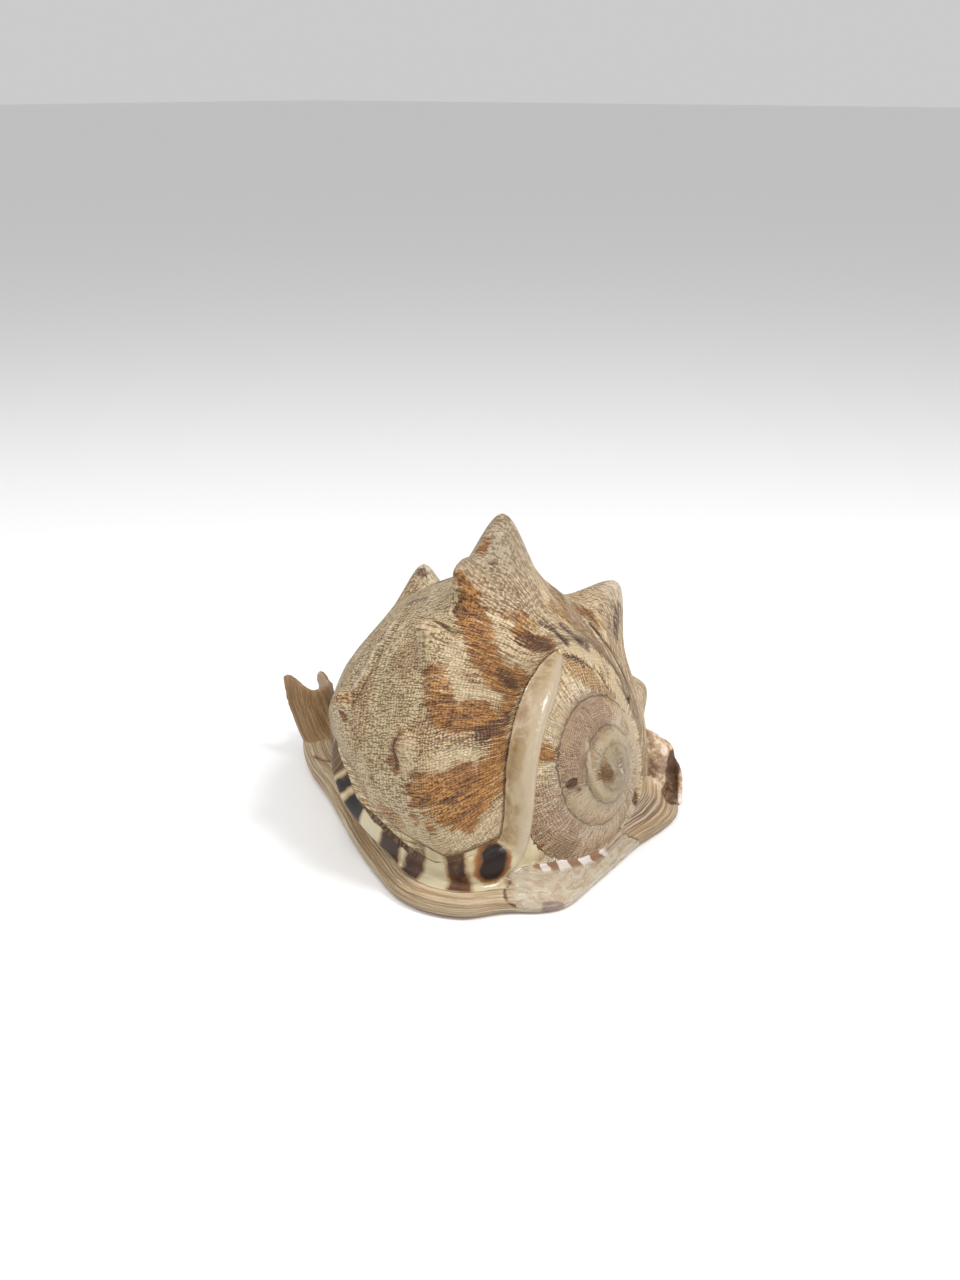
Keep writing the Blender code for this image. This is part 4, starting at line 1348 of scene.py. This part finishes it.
        pits = (1.0 - lines) * 0.5 + (1.0 - cords) * 0.2 + (dashes - 0.5) * 3.2
        quiet = self.mask("cream", ragged).above(ramp * 0.55).above(comb * 0.7)
        woven = 0.9 - quiet * 0.5 - low * 0.35 - on_spire * 0.3
        net = self.step(pits, 0.38, 0.82) * woven * (1.0 - horn * 0.3)
        dark = self.mix(rust, (0.36, 0.29, 0.20), (0.30, 0.18, 0.12))
        base = self.mix(net, base, dark, "MULTIPLY")
        light = self.step(lines * 0.5 + cords * 0.5, 0.5, 0.95) * (0.5 - rust * 0.4) * (1.0 - horn * 0.7)
        base = self.mix(light, base, (0.66, 0.56, 0.40))
        # Painted shade: a dark line multiplied in along the crease where the last whorl comes out from under
        # the old lip, and beside the old lip's upper run.
        upper = 1.0 - self.step(self.attribute("lip_along"), 0.58, 0.66)
        beside = self.step(self.attribute("on_old_lip"), -2.2, -0.6) * upper
        crease_shade = (1.0 - self.step(start, 0.3, 2.6)).above(beside)
        base = self.mix(crease_shade * off_spire * 0.85, base, (0.22, 0.13, 0.07), "MULTIPLY")
        relief = (streaks - 0.5) * (ramp + on_spire * 0.7 + comb) * 1.1 + (thread - 0.5) * ramp * 2.0
        height = (self.grain - 0.5) * 0.3 - net * 0.55 + cords * 0.16 + relief + (fringe - 0.5) * comb * 1.6
        rough = 0.52 + (self.mottle - 0.5) * 0.5
        return Coat(base, height, rough)

    def spire(self, run, spire_angle, spire_along, bands, streaks):
        """Colours of the earlier whorls, from the old lip back to the apex."""
        comb = self.noise(self.vector(run * 0.85, spire_along * 9.0, 12.0), 1.0, 2.0, 0.5)
        edge = (self.broad - 0.5) * 90.0 + (streaks - 0.5) * 60.0
        tail = self.step(-spire_angle + edge, 72.0, 104.0)
        older = self.step(-spire_angle + edge * 0.5, 292.0, 318.0)
        oldest = self.step(-spire_angle + edge * 0.8, 500.0, 600.0)
        gold = self.shade(comb, 0.47, 0.53, (0.613, 0.496, 0.293), (0.45, 0.271, 0.0966))
        gold = self.wash(gold, comb, 0.56, 0.64, 0.8, (0.265, 0.136, 0.0464))
        gold = self.mix((1.0 - self.step(spire_along, 0.04, 0.10)) * 0.8, gold, (0.592, 0.458, 0.278))
        mauve = self.shade(self.broad, 0.42, 0.58, (0.499, 0.309, 0.168), (0.355, 0.206, 0.0994))
        mauve = self.wash(mauve, self.mottle, 0.49, 0.60, 0.85, (0.32, 0.186, 0.0948))
        striae = (spire_angle * 4.4 + bands * 6.0).wave()
        mauve = self.wash(mauve, striae, 0.2, 0.9, 0.22, (0.651, 0.466, 0.277))
        pink = self.shade(self.broad, 0.4, 0.6, (0.522, 0.342, 0.203), (0.425, 0.255, 0.143))
        pink = self.wash(pink, comb, 0.52, 0.58, 0.75, (0.734, 0.575, 0.372))
        pink = self.wash(pink, -comb, -0.44, -0.38, 0.6, (0.297, 0.162, 0.0866))
        apex = self.shade(self.broad, 0.47, 0.57, (0.629, 0.483, 0.294), (0.528, 0.325, 0.134))
        apex = self.wash(apex, comb, 0.56, 0.62, 0.6, (0.741, 0.607, 0.397))
        whorl = self.mix(tail, gold, mauve)
        whorl = self.mix(older, whorl, pink)
        whorl = self.mix(oldest, whorl, apex)
        crackle = self.crackle(self.vector(run * 0.4, spire_along * 34.0))
        whorl = self.mix((1.0 - self.step(crackle, 0.02, 0.10)) * tail * 0.35, whorl, (0.613, 0.487, 0.325))
        rays = self.noise(self.vector(run * 1.5, spire_along * 7.0, 16.0), 1.0, 2.0)
        whorl = self.wash(whorl, rays, 0.53, 0.61, 0.6, (0.66, 0.565, 0.44))
        whorl = self.wash(whorl, -rays, -0.46, -0.39, 0.6, (0.21, 0.125, 0.075))
        ticks = self.noise(self.vector(run * 1.2, spire_along * 5.0, 14.0), 1.0, 1.0)
        reach = (ticks - 0.5) * 0.9 + (self.mottle - 0.5) * 0.3
        ridge = 1.0 - self.step(spire_along - reach, 0.02, 0.10)
        return self.mix(ridge * 0.8, whorl, (0.62, 0.53, 0.41))

    def lip(self):
        """The old lip: glossy ivory with cloudy tan, and below it the strip with dark bars."""
        along = self.attribute("lip_along")
        across = self.attribute("lip_across")
        clouds = self.noise(self.vector(along * 20.0, across * 0.9), 1.0, 3.0, 0.5, 0.8)
        wisps = self.noise(self.vector(along * 46.0, across * 1.6, 3.0), 1.0, 3.0, 0.55, 1.2)
        base = self.mix(self.step(across, -0.7, 0.3), (0.374, 0.298, 0.203), self.colours.ivory)
        tan = self.step(clouds, 0.44, 0.60) * self.step(across, -0.7, 0.2)
        base = self.mix(tan * 0.9, base, (0.272, 0.18, 0.0861))
        curls = self.step(wisps, 0.50, 0.62) * 0.45 * self.step(across, -0.4, 0.3)
        base = self.mix(curls, base, (0.245, 0.155, 0.0679))
        base = self.wash(base, -wisps, -0.46, -0.38, 0.35, (0.408, 0.323, 0.209))
        base = self.wash(base, self.broad, 0.54, 0.64, 0.3, (0.306, 0.236, 0.0936))
        base = self.mix(self.mask("amber", (self.mottle - 0.5) * 1.5) * 0.85, base, (0.204, 0.0989, 0.0261))
        # Painted shadow: a near-black line along one edge of the old lip's upper run, where the lip stands
        # over the whorl beside it.
        edge = self.step(across, 0.86, 0.97) * (1.0 - self.step(along, 0.40, 0.44))
        base = self.mix(edge * 0.8, base, (0.0884, 0.0497, 0.0235))
        height = (self.grain - 0.5) * 0.05 + (wisps - 0.5) * 0.5
        ivory = Coat(base, height, 0.22 + (clouds - 0.5) * 0.2)
        return ivory.under(self, self.step(along, 0.44, 0.47), self.strip())

    def hem(self):
        """Where the last whorl's tan skin laps over the strip."""
        along = self.attribute("lip_along")
        across = self.attribute("lip_across") + (self.mottle - 0.5) * 0.3
        lapped = self.step(across, 0.3, 0.42) * self.step(along, 0.62, 0.68)
        return lapped.above(self.step(along, 0.893, 0.905))

    def strip(self):
        """Cream with near-black bars and one great dark spot."""
        along = self.attribute("lip_along") + (self.mottle - 0.5) * 0.012
        base = self.shade(self.broad, 0.4, 0.62, (0.504, 0.436, 0.286), (0.446, 0.363, 0.212))
        cover = 0.0
        for low, high, black in LIP_BARS:
            halo = self.step(along, low - 0.007, low) * (1.0 - self.step(along, high, high + 0.007))
            base = self.mix(halo * 0.7, base, (0.26, 0.135, 0.05))
            bar = self.step(along, low - 0.002, low + 0.004)
            bar = bar * (1.0 - self.step(along, high - 0.004, high + 0.002))
            brown = self.shade(self.broad, 0.42, 0.58, (0.155, 0.0601, 0.0204), (0.0271, 0.00871, 0.0037))
            base = self.mix(bar, base, self.mix(black, brown, (0.0213, 0.0174, 0.0157)))
            cover = cover + bar
        ring = self.attribute("black") + (self.mottle - 0.5) * 0.5 + (self.broad - 0.5) * 0.5
        base = self.mix(self.step(ring, 0.02, 0.35), base, (0.24, 0.11, 0.032))
        base = self.wash(base, ring, 0.3, 0.65, 0.8, (0.10, 0.034, 0.008))
        base = self.mix(self.step(ring, 0.62, 0.85), base, (0.010, 0.003, 0.001))
        cover = (cover + self.step(ring, 0.05, 0.4)).below(1.0)
        return Coat(base, (self.grain - 0.5) * 0.06, 0.26 + cover * 0.12 + (self.mottle - 0.5) * 0.1)

    def shield(self):
        """The shield: layered tan leaves at the front, a polished cream flange behind, peach below."""
        row = self.attribute("rim_row")
        along = self.attribute("rim_along")
        leaves = self.noise(self.vector(row * 0.34 + (self.broad - 0.5) * 2.0, along * 7.0), 1.0, 3.0, 0.55)
        fine = self.noise(self.vector(row * 1.0 + (self.broad - 0.5) * 3.0, along * 9.0, 4.0), 1.0, 2.0)
        tan = self.shade(leaves, 0.42, 0.58, (0.50, 0.385, 0.25), (0.36, 0.235, 0.12))
        tan = self.wash(tan, fine, 0.53, 0.62, 0.5, (0.20, 0.115, 0.055))
        tan = self.wash(tan, -fine, -0.46, -0.38, 0.6, (0.62, 0.51, 0.36))
        layered = Coat(tan, (leaves - 0.5) * 2.2 + (fine - 0.5) * 1.6, 0.4 + (fine - 0.5) * 0.3)

        waves = self.noise(self.vector(row * 0.16, along * 60.0, 6.0), 1.0, 3.0, 0.55, 1.0)
        cream = self.shade(self.broad, 0.4, 0.62, (0.464, 0.4, 0.304), (0.4, 0.328, 0.232))
        cream = self.wash(cream, waves, 0.52, 0.62, 0.6, (0.336, 0.24, 0.156))
        cream = self.wash(cream, -waves, -0.46, -0.40, 0.5, (0.512, 0.464, 0.384))
        cream = self.mix(self.mask("purple", (self.mottle - 0.5) * 1.5) * 0.85, cream, (0.216, 0.144, 0.124))
        polished = Coat(cream, (leaves - 0.5) * 1.0 + (waves - 0.5) * 1.2, 0.26 + (self.mottle - 0.5) * 0.15)
        flange = self.step(along, 0.812, 0.822)
        behind = self.step(along, 0.925, 0.955) + (1.0 - self.step(along, 0.07, 0.09))
        coat = layered.under(self, flange, polished)
        slate = self.shade(fine, 0.45, 0.58, (0.42, 0.32, 0.24), (0.13, 0.08, 0.055))
        edge = self.step(row, 50.0, 60.0)
        coat = coat.under(self, behind.below(1.0) * 0.75 * edge, Coat(slate, (fine - 0.5) * 1.8, 0.5))
        lip = self.step(along, 0.09, 0.12) * (1.0 - self.step(along, 0.43, 0.46))
        bars = self.step((along * 2 * math.pi * 26.0 + self.broad * 4.0).wave(), 0.35, 0.6)
        outer = self.mix(bars * (1.0 - self.step(row, 52.0, 62.0)), (0.52, 0.41, 0.27), (0.17, 0.075, 0.03))
        coat = coat.under(self, lip, Coat(outer, (leaves - 0.5) * 0.8, 0.3 + (fine - 0.5) * 0.2))

        squares = self.step((along * 2 * math.pi * 34.0 + (self.mottle - 0.5) * 2.5).wave(), -0.1, 0.25)
        band = self.mask("band", (self.mottle - 0.5) * 0.8)
        chequer = self.mix(squares, (0.62, 0.565, 0.52), (0.24, 0.14, 0.08))
        coat = coat.under(self, band, Coat(chequer, 0.0, 0.3))
        strip = self.step(row, 56.0, 58.0) * self.step(along, 0.56, 0.575)
        strip = strip * (1.0 - self.step(along, 0.805, 0.815))
        coat = coat.under(self, strip, self.strip())

        room = self.attribute("room_distance")
        near = 1.0 - self.step(room, 0.5, 9.0)
        peach = self.mix(self.step(self.broad, 0.38, 0.62), self.colours.peach, (0.66, 0.47, 0.29))
        peach = self.mix(near * 0.75, peach, (0.78, 0.70, 0.56))
        folds = self.noise(self.vector(self.attribute("rim_along") * 190.0, room * 0.12), 1.0, 2.0)
        stain = self.step(folds, 0.55, 0.63) * near * self.step(room, 1.5, 3.5)
        peach = self.mix(stain * 0.7, peach, (0.20, 0.085, 0.035))
        below = Coat(peach, (folds - 0.5) * 1.2 * near, 0.16 + (self.mottle - 0.5) * 0.12)
        return coat.under(self, 1.0 - self.step(row, 25.0, 30.0), below)

    def canal(self):
        """Taupe with fine ribs that fan out to the end."""
        along = self.attribute("canal_along")
        turn = self.attribute("canal_round")
        ribs = self.noise(self.vector(turn * 260.0, along * 2.2), 1.0, 3.0, 0.6)
        veil = self.noise(self.vector(turn * 30.0, along * 2.0, 2.0), 1.0, 2.0)
        base = self.shade(ribs, 0.42, 0.60, (0.403, 0.248, 0.115), (0.22, 0.116, 0.0478))
        base = self.wash(base, veil, 0.48, 0.60, 0.5, (0.451, 0.298, 0.152))
        base = self.wash(base, along, 0.8, 1.0, 0.35, (0.488, 0.331, 0.175))
        inside = self.step(turn, 0.49, 0.51)
        base = self.mix(inside, base, (0.58, 0.43, 0.30))
        return Coat(base, (ribs - 0.5) * 1.6, 0.4 + (ribs - 0.5) * 0.3)

    def lump(self):
        """The broken brown end of the outer lip."""
        broken = self.noise(self.spot, 330.0, 4.0, 0.65)
        base = self.shade(broken, 0.40, 0.58, (0.659, 0.514, 0.364), (0.395, 0.241, 0.132))
        base = self.wash(base, self.broad, 0.50, 0.60, 0.8, (0.264, 0.163, 0.108))
        base = self.wash(base, -self.broad, -0.45, -0.38, 0.7, (0.806, 0.684, 0.589))
        return Coat(base, (broken - 0.5) * 2.4, 0.55 + (broken - 0.5) * 0.3)


class FinishShell(bpy.types.Operator):
    """Give the shell its colours, gloss and fine relief"""

    bl_idname = "shell.finish"
    bl_label = "Finish"

    def execute(self, context):
        skin = bpy.data.objects["shell_skin"]
        material = bpy.data.materials.new("horned_helmet_shell")
        material.use_nodes = True
        tree = material.node_tree
        tree.nodes.clear()
        paints = ShellPaints(tree, context.scene.shell_colours)
        coat = paints.whorls()
        coat = coat.under(paints, paints.zone("canal"), paints.canal())
        coat = coat.under(paints, paints.zone("shield"), paints.shield())
        coat = coat.under(paints, paints.zone("lip_end"), paints.lump())
        older = paints.step(paints.attribute("spire_angle"), 225.0, 240.0) * paints.zone("spire")
        older = older * (1.0 - paints.step(paints.attribute("lip_along"), 0.62, 0.68))
        coat = coat.under(paints, older, paints.strip())
        coat = coat.under(paints, paints.zone("old_lip", 0.2) * (1.0 - paints.hem()), paints.lip())
        inside = paints.mix(paints.step(paints.broad, 0.4, 0.6), (0.62, 0.44, 0.28), (0.50, 0.31, 0.17))
        room = Coat(inside, (paints.mottle - 0.5) * 0.1, 0.25 + (paints.mottle - 0.5) * 0.1)
        coat = coat.under(paints, paints.zone("room"), room)
        # Painted shade: the narrow cracks and grooves are darkened where the relief dips below the skin.
        groove_shade = paints.step(-paints.attribute("relief"), 0.25, 0.8)
        base = paints.mix(groove_shade * 0.85, coat.base, (0.22, 0.14, 0.10), "MULTIPLY")
        crest = paints.step(paints.attribute("relief"), 0.5, 1.3)
        base = paints.mix(crest * 0.6, base, (0.60, 0.49, 0.37))
        inputs = {
            "Base Color": base,
            "Roughness": coat.rough,
            "Normal": paints.bump(coat.height, MM),
            "Specular IOR Level": 0.3,
            "Coat Weight": paints.step(-coat.rough, -0.36, -0.22) * 0.3,
            "Coat Roughness": 0.12,
        }
        surface = add_node(tree, "ShaderNodeBsdfPrincipled", {}, inputs)
        add_node(tree, "ShaderNodeOutputMaterial", {}, {"Surface": surface.outputs["BSDF"]})
        skin.data.materials.clear()
        skin.data.materials.append(material)
        return {"FINISHED"}


# The camera stands as the photograph's did, in millimetres and degrees
CAMERA_PLACE = (345.5, -532.1, 345.8)
CAMERA_AZIMUTH = 39.0
CAMERA_ELEVATION = 20.22
CAMERA_LENS = 42.78
SENSOR_HEIGHT = 36.0

FLOOR_SIZE = 40.0
# Name, place in metres, watts and size of each light, and where all of them aim
LIGHTS = (
    ("key", (0.75, 0.1, 1.08), 8.5, 0.3),
    ("overhead", (-0.25, -0.35, 1.1), 5.5, 0.8),
    ("front", (0.9, -1.0, 0.75), 3.0, 0.9),
    ("right", (1.1, 0.35, 0.7), 4.0, 0.7),
    ("left", (-1.0, -0.7, 0.7), 2.5, 0.9),
)
LIGHT_AIM = (0.0, 0.0, 0.06)
SKY_STRENGTH = 0.6


class SetStage(bpy.types.Operator):
    """Lay a pale floor, hang soft lights and set up the camera"""

    bl_idname = "shell.stage"
    bl_label = "Stage"

    def execute(self, context):
        deselect()
        bpy.ops.mesh.primitive_plane_add(size=FLOOR_SIZE, location=(0.0, 0.0, 0.0))
        floor = bpy.context.object
        floor.name = "floor"
        paper = bpy.data.materials.new("pale_floor")
        paper.use_nodes = True
        surface = paper.node_tree.nodes["Principled BSDF"]
        surface.inputs["Base Color"].default_value = (0.86, 0.86, 0.86, 1.0)
        surface.inputs["Roughness"].default_value = 0.7
        floor.data.materials.append(paper)
        for name, spot, power, size in LIGHTS:
            deselect()
            bpy.ops.object.light_add(type="AREA", location=spot)
            light = bpy.context.object
            light.name = name
            light.data.energy = power
            light.data.size = size
            aim = Vector(LIGHT_AIM) - Vector(spot)
            light.rotation_euler = aim.to_track_quat("-Z", "Y").to_euler()
        world = bpy.data.worlds.new("studio")
        world.use_nodes = True
        sky = world.node_tree.nodes["Background"]
        sky.inputs["Color"].default_value = (1.0, 1.0, 1.0, 1.0)
        sky.inputs["Strength"].default_value = SKY_STRENGTH
        context.scene.world = world
        spot = (Vector(CAMERA_PLACE) + Vector(SET_DOWN)) * MM
        a = math.radians(CAMERA_AZIMUTH)
        e = math.radians(CAMERA_ELEVATION)
        back = Vector((math.sin(a) * math.cos(e), -math.cos(a) * math.cos(e), math.sin(e)))
        bpy.ops.object.camera_add(location=spot)
        camera = bpy.context.object
        camera.name = "camera"
        camera.rotation_euler = (-back).to_track_quat("-Z", "Y").to_euler()
        camera.data.sensor_fit = "VERTICAL"
        camera.data.sensor_height = SENSOR_HEIGHT
        camera.data.sensor_width = SENSOR_HEIGHT
        camera.data.lens = CAMERA_LENS
        camera.data.clip_start = 0.01
        camera.data.clip_end = 50.0
        context.scene.camera = camera
        context.scene.view_settings.view_transform = "Standard"
        return {"FINISHED"}


class ShellPanel(bpy.types.Panel):
    """Lists the shell's steps, sizes and colours"""

    bl_idname = "VIEW3D_PT_shell"
    bl_label = "Horned helmet shell"
    bl_space_type = "VIEW_3D"
    bl_region_type = "UI"
    bl_category = "Shell"

    def draw(self, context):
        layout = self.layout
        for step in STEPS:
            layout.operator(step.bl_idname)
        for group in (context.scene.shell_sizes, context.scene.shell_colours):
            box = layout.box()
            for name in group.__annotations__:
                box.prop(group, name)


STEPS = (BuildShell, MarkShell, FinishShell, SetStage)
CLASSES = (ShellSizes, ShellColours, *STEPS, ShellPanel)


def register():
    for item in CLASSES:
        bpy.utils.register_class(item)
    bpy.types.Scene.shell_sizes = bpy.props.PointerProperty(type=ShellSizes)
    bpy.types.Scene.shell_colours = bpy.props.PointerProperty(type=ShellColours)


def unregister():
    del bpy.types.Scene.shell_colours
    del bpy.types.Scene.shell_sizes
    for item in reversed(CLASSES):
        bpy.utils.unregister_class(item)


def main():
    register()
    bpy.ops.shell.build()
    bpy.ops.shell.mark()
    bpy.ops.shell.finish()
    bpy.ops.shell.stage()


if __name__ == "__main__":
    main()
